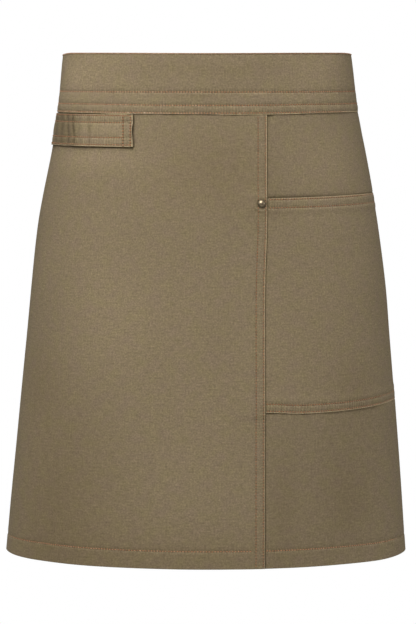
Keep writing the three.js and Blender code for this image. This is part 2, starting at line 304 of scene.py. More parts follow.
def seam_x(drop):
    return along(SEAM, "x", drop)


def x_at(angle, drop):
    """Millimetres to the right of the front's middle, without the flutes."""
    return half_width(angle, drop) * np.sin(angle)


def angle_at_x(x, drop):
    return np.arcsin(np.clip(x / half_width(x, drop), -1, 1))


def flute_depth(angle, drop):
    depth = np.zeros(np.broadcast(angle, drop).shape)
    for flute in FLUTES:
        aside = angle - math.radians(flute["angle"])
        grown = ease(drop, flute["start"], LENGTH)
        depth = depth + flute["depth"] * bell(aside, math.radians(flute["width"])) * grown
    return depth


def hem_sag(angle, drop):
    """How far the hem dips on the pocket's side, and rises again where it turns round each hip."""
    dip, rise = 0.9, 2.0
    below_pocket = bell(angle - math.radians(58), math.radians(18)) * ease(drop, 430, LENGTH)
    around = np.abs(angle)
    at_hip = ease_degrees(around, 58, 88) * (1 - ease_degrees(around, 95, 122))
    return dip * below_pocket - rise * at_hip * ease(drop, HEM_ROW - 5, LENGTH)


def form_point(angle, drop):
    """The panels' outer face, in millimetres."""
    across, ahead = np.sin(angle), np.cos(angle)
    width = half_width(across, drop) * across
    depth = half_depth(ahead, drop) * ahead
    drawn_in = 1 - flute_depth(angle, drop) / np.hypot(width, depth)
    height = WAIST_LEVEL - drop - hem_sag(angle, drop)
    return np.stack([width * drawn_in, -depth * drawn_in, height], axis=-1)


def outward(angle, drop):
    turn, fall = 0.004, 1.0
    right = form_point(angle + turn, drop) - form_point(angle - turn, drop)
    up = form_point(angle, drop - fall) - form_point(angle, drop + fall)
    normal = np.cross(right, up)
    return normal / np.linalg.norm(normal, axis=-1, keepdims=True)


def cloth_point(angle, drop, offset):
    angle, drop, offset = np.broadcast_arrays(angle, drop, offset)
    return form_point(angle, drop) + outward(angle, drop) * offset[..., None]


def arc_per_angle(angle, drop):
    """Millimetres of cloth for each radian round the body."""
    across, ahead = np.sin(angle), np.cos(angle)
    return np.hypot(half_width(across, drop) * ahead, half_depth(ahead, drop) * across)


def slack(angle, drop):
    """Shallow unevenness of cloth that hangs, held flat under the waistband."""
    rise = 0
    for wave in SLACK:
        turn = wave["around"] * angle + wave["down"] * drop / 100 + wave["phase"]
        rise = rise + wave["depth"] * np.sin(turn)
    return rise * ease(drop, BAND_HEIGHT, BAND_HEIGHT + SLACK_GROWS)


def pucker(distance, place, reach=7.0, depth=0.16):
    """Small gathers that a row of stitches draws up beside it."""
    gathers = sum(wave["share"] * np.sin(place / wave["length"] + wave["phase"]) for wave in GATHERS)
    return depth * gathers * bell(distance, reach)


def sewn(distance, place=0.0):
    """A row of stitches: the groove that it pulls in, and the gathers beside it."""
    gathers = pucker(distance, place, depth=GROOVE["gathers"])
    return gathers - GROOVE["depth"] * bell(distance, GROOVE["width"])


def sewn_level(below, place=0.0, above=LEVEL_GROOVE["above"]):
    """A level row of stitches: the cloth rolls in above it and swells out again just below it."""
    width = np.where(below < 0, above, LEVEL_GROOVE["below"])
    return pucker(below, place) - LEVEL_GROOVE["depth"] * bell(below, width)


def rolled(*belows):
    """Tone beside level rows: painted shade in the roll above each and a painted highlight on the swell below
    it.
    """
    roll_shade, paler = 0.07, 0.08
    tone = 1.0
    for below in belows:
        tone = tone * (1 - roll_shade * bell(below + 1.4, 1.2) + paler * bell(below - 1.6, 1.0))
    return tone


def drawn_up(*distances):
    """1 along rows of stitches, falling to 0 some millimetres away."""
    return np.clip(sum(bell(distance, GATHER_REACH) for distance in distances), 0, 1)


def worn(distance, edge):
    """How much paler one of the folded edges is, a distance in from it: partly wear and partly a painted
    highlight.
    """
    return 1 + EDGE_WEAR_AND_HIGHLIGHT[edge] * bell(distance, EDGE_WEAR_AND_HIGHLIGHT_WIDTH)


# Painted light and shade, where the cloth is a little paler or darker: angle and half width in degrees, drop
# and half height
TONES = table(
    "angle width drop height change",
    (-62, 24, 24, 36, 0.27),
    (-78, 16, 35, 45, 0.12),
    (-47, 20, 123, 15, 0.18),
    (-3, 11, 50.6, 2.2, -0.1),
    (5, 45, 18, 10, -0.05),
    (52, 20, 22, 36, 0.15),
    (45, 20, 125, 50, 0.12),
    (17, 14, 150, 50, -0.04),
    (0, 24, 135, 55, -0.1),
    (-70, 12, 245, 35, 0.07),
    (-5, 45, 305, 70, 0.03),
    (17, 6, 330, 50, 0.04),
    (-33, 16, 310, 75, 0.09),
    (-5, 24, 430, 90, 0.04),
    (23, 6, 180, 14, -0.06),
    (51, 12, 395, 45, -0.09),
    (-65, 14, 390, 45, -0.09),
    (-50, 24, 555, 150, -0.18),
    (46, 12, 525, 50, -0.12),
    (22, 5, 520, 55, -0.08),
    (-8, 45, 597, 40, -0.12),
)


# Painted light and shade at places on the cloth, from the patches above
def cloth_tone(angle, drop):
    tone = np.ones(np.broadcast(angle, drop).shape)
    for patch in TONES:
        aside = bell(angle - math.radians(patch["angle"]), math.radians(patch["width"]))
        tone = tone + patch["change"] * aside * bell(drop - patch["drop"], patch["height"])
    return tone


# Layers of cloth, each as the offset of its middle

def from_lap_edge(angle, drop):
    """Millimetres in from the lap's edge, to the left, and far from it behind the hips."""
    return np.where(np.abs(angle) < math.pi / 2, seam_x(drop) - x_at(angle, drop), FAR)


def back_inset(angle, drop):
    """Millimetres of cloth in from a panel's back edge."""
    return (BACK_EDGE - np.abs(angle)) * arc_per_angle(BACK_EDGE, drop)


def pocket_inset(angle, drop):
    """Millimetres of cloth in from the pocket's outer edge."""
    return (POCKET_EDGE - angle) * arc_per_angle(POCKET_EDGE, drop)


def pocket_drops(angle):
    """The drops of the pocket's mouth and of its bottom edge."""
    mouth = POCKET_MOUTH - POCKET_MOUTH_RISE * ease_degrees(angle, 20, 80)
    at_lap = POCKET_BOTTOM_RISES["lap"] * (1 - ease_degrees(angle, 17, 30))
    at_hip = POCKET_BOTTOM_RISES["hip"] * ease_degrees(angle, 32, 83)
    return mouth, POCKET_BOTTOM - at_lap - at_hip


def hip_press(angle, drop):
    """How far the pocket and the panel behind it are pressed in where they turn round the hip."""
    depth, fade = 1.2, 1.4
    mouth, bottom = pocket_drops(angle)
    inside = ease(drop, mouth - fade, mouth) * ease(-drop, -bottom - fade, -bottom)
    return depth * inside * ease(angle, 0.95, 1.35)


def on_pocket_turn(inset):
    """1 where the pocket's bottom or side is turned under, and 0 farther in from that edge."""
    return 1 - ease(inset, POCKET_TURN, POCKET_TURN + 8)


def pocket_turnings(angle, drop):
    """1 where the pocket lies on its own turned edges, and 0 in its middle."""
    mouth, bottom = pocket_drops(angle)
    at_mouth = 1 - ease(drop - mouth, MOUTH_TURN - 1, MOUTH_TURN + 4)
    at_bottom = on_pocket_turn(bottom - drop)
    at_edge = on_pocket_turn(pocket_inset(angle, drop))
    return np.maximum(np.maximum(at_mouth, at_bottom), at_edge)


def pocket_gape(angle, drop):
    """How far the pocket's mouth stands open."""
    gape, reach = 1.7, 85
    mouth, _ = pocket_drops(angle)
    start = angle_at_x(seam_x(drop) + 1.0, drop)
    share = np.clip((angle - start) / (POCKET_EDGE - start), 0, 1)
    shape = np.sin(math.pi * share ** 0.45) ** 1.3 * (1 - ease(angle, 0.9, 1.3))
    return gape * shape * (1 - ease(drop - mouth, 0, reach))


def pocket_offset(angle, drop):
    mouth, bottom = pocket_drops(angle)
    around = angle * HIP_RADIUS
    inset = pocket_inset(angle, drop)
    offset = POCKET_LAYER + TURNED * pocket_turnings(angle, drop) + pocket_gape(angle, drop)
    middle = ease(drop - mouth, 20, 110) * ease(bottom - drop, 14, 80) * ease(inset, 14, 80)
    offset = offset + POCKET_BULGE * middle * ease(angle, 0.35, 0.75)
    for mouth_row, bottom_row in zip(MOUTH_ROWS, BOTTOM_ROWS):
        offset = offset + sewn_level(drop - mouth - mouth_row, around)
        offset = offset + sewn_level(drop - bottom + bottom_row, around)
        offset = offset + sewn(inset - bottom_row, drop)
    return offset + slack(angle, drop) - hip_press(angle, drop)


def pocket_under_lap(drop):
    """Thickness of pocket that the lap rides over."""
    near_lap, ramp = 0.3, 12
    mouth, bottom = pocket_drops(near_lap)
    layer = CLOTH + AIR
    rise = layer * ease(drop, mouth - ramp, mouth - 1) * ease(-drop, -bottom - ramp, -bottom - 1)
    at_mouth = 1 - ease(drop - mouth, MOUTH_TURN, MOUTH_TURN + 9)
    return rise * (1 + TURNED / layer * np.maximum(at_mouth, on_pocket_turn(bottom - drop)))


def lap_share(from_edge):
    """How much of the lap's rise is left, away from its edge."""
    return 1 - ease(from_edge, LAP, LAP + LAP_RAMP)


def on_lap(from_edge):
    """1 on the stitched lap and 0 beside it."""
    return 1 - ease(from_edge, LAP, LAP + 3)


def hem_relief(angle, drop):
    puffed = 0.16 * ease(drop, HEM_ROW - 4, HEM_ROW + 6)
    return sewn_level(drop - HEM_ROW, angle * HIP_RADIUS) + puffed


def below_waistband(drop, relief):
    return np.where(drop > BAND_HEIGHT, relief, 0)


def back_relief(angle, drop):
    return below_waistband(drop, sewn(back_inset(angle, drop) - BACK_ROW, drop))


def front_offset(angle, drop):
    edge = from_lap_edge(angle, drop)
    offset = PANEL + lap_share(edge) * (LAP_RISE + pocket_under_lap(drop))
    for row in LAP_ROWS:
        offset = offset + below_waistband(drop, sewn(edge - row, drop))
    swollen = 0.2 * bell(edge - sum(LAP_ROWS) / 2, 3.2)
    hem = (1 - on_lap(edge)) * hem_relief(angle, drop)
    return offset + swollen + slack(angle, drop) + hem + back_relief(angle, drop)


def side_offset(angle, drop):
    free = ease(-from_lap_edge(angle, drop), 0.5, 6)
    mouth, _ = pocket_drops(angle)
    pressed = 1.3 * bell(drop - mouth - 1, 3.5) * (1 - 0.75 * ease(angle, 0.45, 1.2))
    hem = free * hem_relief(angle, drop)
    sprung = 0.6 * bell(drop - BAND_HEIGHT - 8, 15)
    sprung = sprung * ease(drop, PANEL_TOP, BAND_HEIGHT) * ease(angle, 1.0, 1.4)
    relief = slack(angle, drop) + hem + back_relief(angle, drop) + sprung
    return PANEL + relief - pressed - hip_press(angle, drop)


def band_over_lap(angle):
    """1 mm where the band rides over the lap, and 0 away from it."""
    in_band = (PANEL_TOP + BAND_HEIGHT) / 2
    edge = from_lap_edge(angle, in_band)
    return lap_share(edge) * ease(edge, -6, -0.3)


def over_strap(angle):
    """1 where the hip strap lies under the band's edge, and 0 to the right of it."""
    return ease_degrees(-angle, 40, 45)


def band_edge_rise(angle, down=BAND_EDGE):
    """How far the cloth at the band's lower edge rises, left of the lap and towards the right hip."""
    left = (0.7 + 0.35 * over_strap(angle)) * (1 - ease_degrees(angle, -3, 8))
    strap_end = bell(angle + 0.62, 0.09)
    right = 1.8 * ease_degrees(angle, 18, 60)
    below_row = ease(down, BAND_ROWS[-1] - 0.4, BAND_EDGE)
    round_row = ease(down, BAND_ROWS[-1] - 1.7, BAND_EDGE)
    return left * (1 - strap_end) * below_row + right * round_row


def band_drop(angle, down):
    """The drop of a place on the band, whose top corners fall at the hips."""
    fall = np.where(angle < 0, CORNER_FALL["left"], CORNER_FALL["right"])
    fall = fall * ease_degrees(np.abs(angle), 68, 92)
    dip = 0.5 * bell(angle, 0.5) * (1 - ease(down, 0, 20))
    return down + fall * (1 - ease(down, 0, BAND_STEP)) + dip - band_edge_rise(angle, down)


def band_row(row, angle):
    """The drop of one of the band's rows, which bends a little towards the hips."""
    return row - BAND_ROW_RISES[row] * ease_degrees(np.abs(angle), 12, 50)


def band_rows(angle, drop):
    relief = 0.0
    for row in BAND_ROWS:
        below = drop - band_row(row, angle)
        relief = relief + sewn_level(below, angle * WAIST_RADIUS, BAND_GROOVE_ABOVE)
    return relief


def band_outer(angle, drop):
    """The band's outer layer: puffed above its rows, a little wavy, and spread by the panels lower down."""
    lower = ease(drop, BAND_STEP + 4, BAND_STEP + 8)
    puff = 0.35 * np.sin(math.pi * np.clip(drop / BAND_STEP, 0, 1)) + 0.15 * bell(drop - 66, 3)
    waves = 0.22 * np.sin(7 * angle + drop / 18) + 0.15 * np.sin(13 * angle - drop / 11 + 1)
    waves = waves * ease(drop, 2, 14) * (1 - ease(drop, 60, 70))
    tucked = 0.15 * ease(drop, BAND_ROWS[-1], BAND_EDGE) + 0.5 * lower * ease(angle, 1.0, 1.4)
    over_lap = ease(drop, PANEL_TOP - 4, PANEL_TOP) * band_over_lap(angle)
    spread = BAND_OUTER["top"] + BAND_OUTER["spread"] * lower
    return spread + puff + waves - tucked + over_lap + band_rows(angle, drop)


def band_inner(angle, drop):
    lower = ease(drop, BAND_STEP - 1.5, BAND_STEP + 3)
    return -BAND_INNER["top"] - BAND_INNER["spread"] * lower - band_rows(angle, drop)


def loop_front(drop):
    """The angle of the hip strap's front end, which is a little wavy."""
    wavy = 0.45 * np.cos(2 * math.pi * (drop - LOOP_TOP - 7) / 27)
    return angle_at_x(LOOP_FRONT_X + wavy, drop)


def loop_angle(share, drop):
    """The angle at a share of the hip strap's length, from its back end."""
    return LOOP_BACK + (loop_front(drop) - LOOP_BACK) * share


def loop_share(angle, drop):
    return (angle - LOOP_BACK) / (loop_front(drop) - LOOP_BACK)


# Creases across the hip strap: millimetres to the left of the front's middle, half width, depth and painted
# shade
LOOP_CREASES = table(
    "x width depth shade",
    (138.7, 2.0, 0.3, 0.26),
    (149.5, 2.2, 0.3, 0.12),
    (157.2, 1.35, 0.7, 0.44),
    (164.2, 1.4, 0.7, 0.33),
    (172.0, 2.2, 0.8, 0.26),
    (178.6, 1.4, 0.5, 0.2),
)


def before_hip(share):
    """1 on the part of the hip strap that faces the front and 0 behind the hip."""
    return ease(share, 0.27, 0.33)


def loop_creases(column, share, down):
    """One column of the creases summed at places on the strap, strongest half way between its rows."""
    x = loop_x(share, down)
    between = np.abs(np.sin(math.pi * np.interp(down, LOOP_ROWS, (0, 1, 2, 3))))
    deep = 0 * x
    for crease in LOOP_CREASES:
        lean = crease["x"] + 0.7 * np.sin(down / 6 + crease["x"])
        deep = deep + crease[column] * bell(x - lean, crease["width"])
    return deep * (0.45 + 0.55 * between) * before_hip(share)


def loop_x(share, down):
    """Millimetres to the left of the front's middle, for a place on the strap."""
    drop = LOOP_TOP + down
    return -x_at(loop_angle(share, drop), drop)


def loop_stand_off(share, down):
    """The offset of the strap's inner face: curled at its end and lower edge, and rippled near the hip."""
    x = loop_x(share, down)
    curl = 0.9 * ease(share, 0.97, 1.0) + 0.2 * ease(down, LOOP_ROWS[3], LOOP_WIDTH)
    sprung = 0.55 * ease(down, 14, LOOP_WIDTH) * ease(share, 0.58, 0.76)
    rippled = 0.7 * ease(x, 128, 150) * ease(share, 0.1, 0.3) - loop_creases("depth", share, down)
    return 0.25 + curl + sprung + np.maximum(rippled, -0.15)


def loop_relief(share, down):
    """How far the strap's faces swell between its middle rows and are drawn in along all of them."""
    x = loop_x(share, down)
    between = np.clip((down - LOOP_ROWS[1]) / (LOOP_ROWS[2] - LOOP_ROWS[1]), 0, 1)
    relief = 0.25 * np.sin(math.pi * between)
    for row in LOOP_ROWS:
        relief = relief + sewn_level(down - row, x)
    for row in LOOP_END_ROWS:
        relief = relief + sewn(x + LOOP_FRONT_X - row, down)
    return relief


def loop_outer(share, down):
    """The offset of a row of stitches on the strap, half a cloth under its outer face."""
    return loop_stand_off(share, down) + LOOP_THICKNESS + loop_relief(share, down) - CLOTH / 2


# Meshes

def refined(start, stop, coarse, features=()):
    """Places from start to stop, a coarse step apart and closer near each (place, fine step)."""
    places = [start]
    way = 1 if stop > start else -1
    while True:
        step = coarse
        for place, fine in features:
            step = min(step, max(fine, 0.38 * abs(places[-1] - place)))
        if way * (stop - places[-1]) < 1.4 * step:
            return places + [stop]
        places.append(places[-1] + way * step)


def turned_edge(back, coarse=3.0):
    """Insets from an edge and depths behind the face, round a fold and back along its turning."""
    bend = [
        (TURN_RADIUS * (1 - math.sin(turn)), TURN_RADIUS * (1 - math.cos(turn)))
        for turn in np.linspace(0, math.pi, 6)
    ]
    return bend + [(inset, TURNED) for inset in refined(TURN_RADIUS, back, coarse)[1:]]


def select_only(piece):
    bpy.ops.object.select_all(action="DESELECT")
    piece.select_set(True)
    bpy.context.view_layer.objects.active = piece


# Marks on the cloth's vertices with their plain values, where the weave starts on some pieces,
# and the painted shade that darkens the side panel's copy of the twill
MARKS = {"tone": 1.0, "gather_u": 0.0, "gather_v": 0.0}
UV_STARTS = {"pocket": 300, "waistband": 700, "straps": 1100}
SIDE_PAINTED_SHADE = 0.93


def add_mark(mesh, name, values):
    """One value for each vertex, which the materials read by its name."""
    layer = mesh.attributes.new(name, "FLOAT", "POINT")
    layer.data.foreach_set("value", np.asarray(values, np.float32).ravel())


def grid_piece(name, points, u, v, marks):
    """A sheet: a grid with a vertex for each point, rows from the top down, a UV map in metres and marks."""
    rows, columns = points.shape[:2]
    bpy.ops.object.select_all(action="DESELECT")
    bpy.ops.mesh.primitive_grid_add(x_subdivisions=columns - 1, y_subdivisions=rows - 1, size=1)
    piece = bpy.context.object
    piece.name = piece.data.name = name
    mesh = piece.data
    mesh.vertices.foreach_set("co", (points[::-1] * MM).astype(np.float32).ravel())
    corners = np.empty(len(mesh.loops), np.int32)
    mesh.loops.foreach_get("vertex_index", corners)
    flat = np.stack(np.meshgrid(u, v[::-1]), axis=-1).reshape(-1, 2) * MM
    mesh.uv_layers.active.data.foreach_set("uv", flat[corners].astype(np.float32).ravel())
    for mark_name, plain in MARKS.items():
        values = np.broadcast_to(marks.get(mark_name, plain), (rows, columns))[::-1]
        add_mark(mesh, mark_name, values)
    mesh.update()
    return piece


def thicken(piece, thickness):
    select_only(piece)
    bpy.ops.object.modifier_add(type="SOLIDIFY")
    wall = piece.modifiers[-1]
    wall.thickness = thickness * MM
    wall.offset = 0
    wall.use_even_offset = True
    bpy.ops.object.modifier_apply(modifier=wall.name)
    bpy.ops.object.shade_smooth_by_angle(angle=math.radians(55))


def cut_lengths(points):
    """Lengths along the rows and down the columns of a sheet, as it was cut."""
    across = np.linalg.norm(np.diff(points, axis=1), axis=-1).mean(axis=0)
    down = np.linalg.norm(np.diff(points, axis=0), axis=-1).mean(axis=1)
    return np.concatenate([[0], np.cumsum(across)]), np.concatenate([[0], np.cumsum(down)])


def sheet_area(points):
    across = np.diff(points, axis=1)[:-1]
    down = np.diff(points, axis=0)[:, :-1]
    return float(np.linalg.norm(np.cross(across, down), axis=-1).sum()) * MM * MM


def dress(piece, node, material):
    """Gives a finished piece its look and its body, and hides the CAD part that it stands for."""
    piece.data.materials.clear()
    piece.data.materials.append(material)
    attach(piece, "root")
    if node:
        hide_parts(node)


def declare_sheet(piece, points):
    u, v = cut_lengths(points)
    width, length = u[-1] * MM, v[-1] * MM
    area = min(sheet_area(points), width * length)


def beside_seam(inset, drop):
    """The angle of a place to the right of the lap's edge."""
    return angle_at_x(seam_x(drop) + inset, drop)


def back_angle(inset, drop):
    """The angle of a place in from the right back edge."""
    return BACK_EDGE - inset / arc_per_angle(BACK_EDGE, drop)


def pocket_angle(inset, drop):
    """The angle of a place in from the pocket's outer edge."""
    return POCKET_EDGE - inset / arc_per_angle(POCKET_EDGE, drop)


def between_edges(column, drop, left_at, left_zone, right_at, right_zone):
    """The angles of a column: ("left", inset), ("right", inset), or ("middle", share of the rest)."""
    zone, value = column
    if zone == "left":
        return left_at(value, drop)
    if zone == "right":
        return right_at(value, drop)
    left, right = left_at(left_zone, drop), right_at(right_zone, drop)
    return left + (right - left) * value


def hung_sheet(name, columns, rows, place, offset, marks):
    """A panel on the worn form. Columns and rows are (place, depth behind the face) pairs."""
    drops = np.array([row[0] for row in rows])
    angle = np.stack([place(column[0], drops) for column in columns], axis=1)
    drop = np.repeat(drops[:, None], len(columns), axis=1)
    column_depth = np.array([column[1] for column in columns])[None, :]
    row_depth = np.array([row[1] for row in rows])[:, None]
    points = cloth_point(angle, drop, offset(angle, drop) - corner_depth(drop, column_depth, row_depth))
    u, v = cut_lengths(points)
    return grid_piece(name, points, u, v, marks(angle, drop)), points


# The grid of a panel: its step, places with finer steps down it, and the zone beside its back edge
PANEL_GRID = 4.2
PANEL_FEATURES = [(BAND_EDGE - 1, 0.7), (BAND_HEIGHT, 0.7), (HEM_ROW, 0.55), (LENGTH - TURN_RADIUS, 0.5)]
SIDE_ZONE = 30.0


def edge_columns(zone, zone_width, back, rows):
    """Columns from the inside of a zone out to a panel's edge, round its fold and back."""
    features = [(TURN_RADIUS, 0.5)] + [(row, 0.55) for row in rows]
    inner = [(inset, 0.0) for inset in refined(zone_width, TURN_RADIUS, PANEL_GRID, features)[:-1]]
    return [((zone, inset), deep) for inset, deep in inner + turned_edge(back)]


def hem_rows(features):
    """Rows from the top of a panel down to the hem's fold and up its turning."""
    down = refined(PANEL_TOP, LENGTH - TURN_RADIUS, PANEL_GRID, PANEL_FEATURES + features)[:-1]
    return [(drop, 0.0) for drop in down] + [(LENGTH - inset, deep) for inset, deep in turned_edge(HEM)]


def over_hem(drop):
    """1 where the hem is turned up, and 0 above it."""
    return ease(drop, HEM_ROW - 5, HEM_ROW - 1)


def corner_depth(drop, column_depth, row_depth):
    """Turnings lie behind the face, and a side turning lies behind the hem's where they cross."""
    return column_depth * (1 + over_hem(drop)) + row_depth


def beside_loop(angle, drop):
    """How much painted shade darkens the panel in the narrow gaps past the hip strap's front end and under
    its lower edge.
    """
    past_end = x_at(angle, drop) - x_at(loop_front(drop), drop)
    down = drop - LOOP_TOP
    at_end = bell(past_end - 0.5, 0.9) * ease(down, -1, 1) * (1 - ease(down, LOOP_WIDTH, LOOP_WIDTH + 1.6))
    under = bell(down - LOOP_WIDTH - 0.3, 0.8) * ease(angle, -1.2, -0.9) * (1 - ease(past_end, -0.6, 0.8))
    return GAP_SHADE["strap_end"] * at_end + GAP_SHADE["under_strap"] * under


def beside_rivet(angle, drop):
    """Painted light and shade on the lap round the rivet: a highlight and shade for a pinch below it, a
    shadow to its right, shade round it.
    """
    edge = from_lap_edge(angle, drop)
    down = drop - RIVET_DROP
    away = np.hypot(edge - RIVET_FROM_SEAM, down)
    pinch_light = ease(down, 2, 6) * (0.2 * bell(away - 7.8, 0.9) - 0.26 * bell(away - 9.8, 0.9))
    painted_shadow = 0.2 * bell(edge - 1.3, 1.6) * bell(down + 0.5, 4.0)
    return pinch_light - painted_shadow - GAP_SHADE["rivet"] * bell(away - RIVET_RADIUS - 0.3, 0.8)


def front_marks(angle, drop):
    edge = from_lap_edge(angle, drop)
    off_lap = 1 - on_lap(edge)
    sides = drawn_up(*[edge - row for row in LAP_ROWS], back_inset(angle, drop) - BACK_ROW)
    # The lap's edge is paler, partly by wear and partly by a painted highlight that fades down it and breaks
    # at the rivet; painted shade lies beside the strap, round the rivet and under the band
    lap_wear_and_highlight = (0.7 - 0.42 * ease(drop, 150, 480)) * (1 - 0.85 * bell(drop - RIVET_DROP, 6))
    tone = cloth_tone(angle, drop) * (1 + lap_wear_and_highlight * bell(edge - 0.3, 0.7))
    tone = tone * (1 - beside_loop(angle, drop)) * (1 + beside_rivet(angle, drop))
    tone = tone * (1 + off_lap * (rolled(drop - HEM_ROW) - 1))
    tone = tone * (1 - GAP_SHADE["band_left"] * over_strap(angle) * under_band(angle, drop) * off_lap)
    return {"tone": tone, "gather_u": drawn_up(drop - HEM_ROW) * off_lap, "gather_v": sides}


def under_band(angle, drop):
    """1 along the narrow gap under the band's edge, where painted shade goes, and 0 away from it."""
    below_band = drop - BAND_EDGE + band_edge_rise(angle)
    return bell(below_band - 0.5, 0.9)


def beside_lap(angle, drop):
    """1 along the narrow gap just past the lap's edge, where painted shade goes, and 0 away from it."""
    return bell(from_lap_edge(angle, drop) + 0.5, 0.9)


def side_marks(angle, drop):
    sides = drawn_up(back_inset(angle, drop) - BACK_ROW)
    mouth, bottom = pocket_drops(angle)
    # Painted shade in the narrow gaps beside the lap, at the pocket's mouth and bottom, and under the band's
    # edge
    near_lap = GAP_SHADE["lap_side"] * beside_lap(angle, drop)
    near_mouth = bell(drop - mouth, 1.6) * (0.4 - 0.3 * ease(angle, 0.4, 1.2))
    near_bottom = GAP_SHADE["under_pocket"] * bell(drop - bottom, 0.9)
    near_band = GAP_SHADE["band_right"] * under_band(angle, drop) * ease(angle, 0.6, 1.1)
    tone = cloth_tone(angle, drop) * rolled(drop - HEM_ROW)
    for painted_shade in (near_lap, near_mouth, near_bottom, near_band):
        tone = tone * (1 - painted_shade)
    return {"tone": tone, "gather_u": drawn_up(drop - HEM_ROW), "gather_v": sides}


def pocket_marks(angle, drop):
    mouth, bottom = pocket_drops(angle)
    ends = [drop - mouth - row for row in MOUTH_ROWS] + [drop - bottom + row for row in BOTTOM_ROWS]
    sides = drawn_up(*[pocket_inset(angle, drop) - row for row in BOTTOM_ROWS])
    # The pocket's mouth and bottom edges are paler, partly by wear and partly by a painted highlight; painted
    # shade lies beside the lap
    edges = worn(drop - mouth, "pocket_mouth") * worn(bottom - drop, "pocket_bottom")
    tone = cloth_tone(angle, drop) * edges * rolled(*ends)
    tone = tone * (1 - GAP_SHADE["lap_pocket"] * beside_lap(angle, drop))
    return {"tone": tone, "gather_u": drawn_up(*ends), "gather_v": sides}


def loop_marks(share, down):
    x = loop_x(share, down)
    from_end = x + LOOP_FRONT_X
    # Painted light and shade: the strap lighter overall and darker towards the hip, in its creases, between
    # its end rows and on its cut end; its edges paler, partly by wear and partly by a painted highlight
    near_hip = ease(x, 146, 160)
    strap_painted_light = 1.14 - 0.11 * near_hip - before_hip(share) * 0.2 * (near_hip - ease(x, 178, 186))
    crease_shade = 1 - loop_creases("shade", share, down)
    edges = worn(LOOP_WIDTH - down, "strap_bottom") * worn(from_end, "strap_end") * worn(down, "strap_top")
    shade_between_ends = 1 - 0.1 * bell(from_end - sum(LOOP_END_ROWS) / 2, 4.5)
    painted_end_shade = 1 - 0.8 * (share > LOOP_CUT)
    ends = drawn_up(*[from_end - row for row in LOOP_END_ROWS])
    belows = [down - row for row in LOOP_ROWS]
    tone = strap_painted_light * crease_shade * edges * shade_between_ends * painted_end_shade * rolled(*belows)
    return {"tone": tone, "gather_u": drawn_up(*belows), "gather_v": ends}


class APRON_OT_front_panel(bpy.types.Operator):
    """Makes the front panel, with its hem, back edge and lapped seam"""

    bl_idname = "apron.front_panel"
    bl_label = "Front Panel"

    def execute(self, context):
        lap = edge_columns("right", LAP_ZONE, TURN_RADIUS + 3, LAP_ROWS)
        back = edge_columns("left", SIDE_ZONE, HEM, (BACK_ROW,))[::-1]
        loop_ends = [(share, 0.0014) for share in (0.704, 0.708, 0.712, 0.716, 0.72)]
        middle = [(("middle", share), 0.0) for share in refined(0, 1, 0.009, loop_ends)[1:-1]]
        ridges = [(POCKET_MOUTH - 3, 0.9), (POCKET_BOTTOM + 3, 0.9), (LOOP_TOP + LOOP_WIDTH, 0.6)]
        ridges += [(RIVET_DROP + down, 0.8) for down in (0, 4, 8)]

        def from_back(inset, drop):
            return -back_angle(inset, drop)

        def from_lap(inset, drop):
            return beside_seam(-inset, drop)

        def place(column, drop):
            return between_edges(column, drop, from_back, SIDE_ZONE, from_lap, LAP_ZONE)

        piece, points = hung_sheet(
            "front_panel_cloth", back + middle + lap, hem_rows(ridges), place, front_offset, front_marks)
        thicken(piece, CLOTH)
        dress(piece, "front_panel", twill("apron_twill"))
        declare_sheet(piece, points)
        return {"FINISHED"}


class APRON_OT_side_panel(bpy.types.Operator):
    """Makes the side panel, which goes under the lap and behind the pocket"""

    bl_idname = "apron.side_panel"
    bl_label = "Side Panel"

    def execute(self, context):
        tuck = refined(-SIDE_TUCK, LAP_ZONE, PANEL_GRID, [(0.0, 0.8)])
        columns = [(("left", inset), 0.0) for inset in tuck]
        columns += [(("middle", share), 0.0) for share in np.linspace(0, 1, 82)[1:-1]]
        columns += edge_columns("right", SIDE_ZONE, HEM, (BACK_ROW,))
        mouths = [(POCKET_MOUTH - step, 0.8) for step in (0, 3)]

        def place(column, drop):
            return between_edges(column, drop, beside_seam, LAP_ZONE, back_angle, SIDE_ZONE)

        piece, points = hung_sheet(
            "side_panel_cloth", columns, hem_rows(mouths), place, side_offset, side_marks)
        thicken(piece, CLOTH)
        dress(piece, "side_panel", twill("apron_twill_shaded_side", SIDE_PAINTED_SHADE))
        declare_sheet(piece, points)
        return {"FINISHED"}


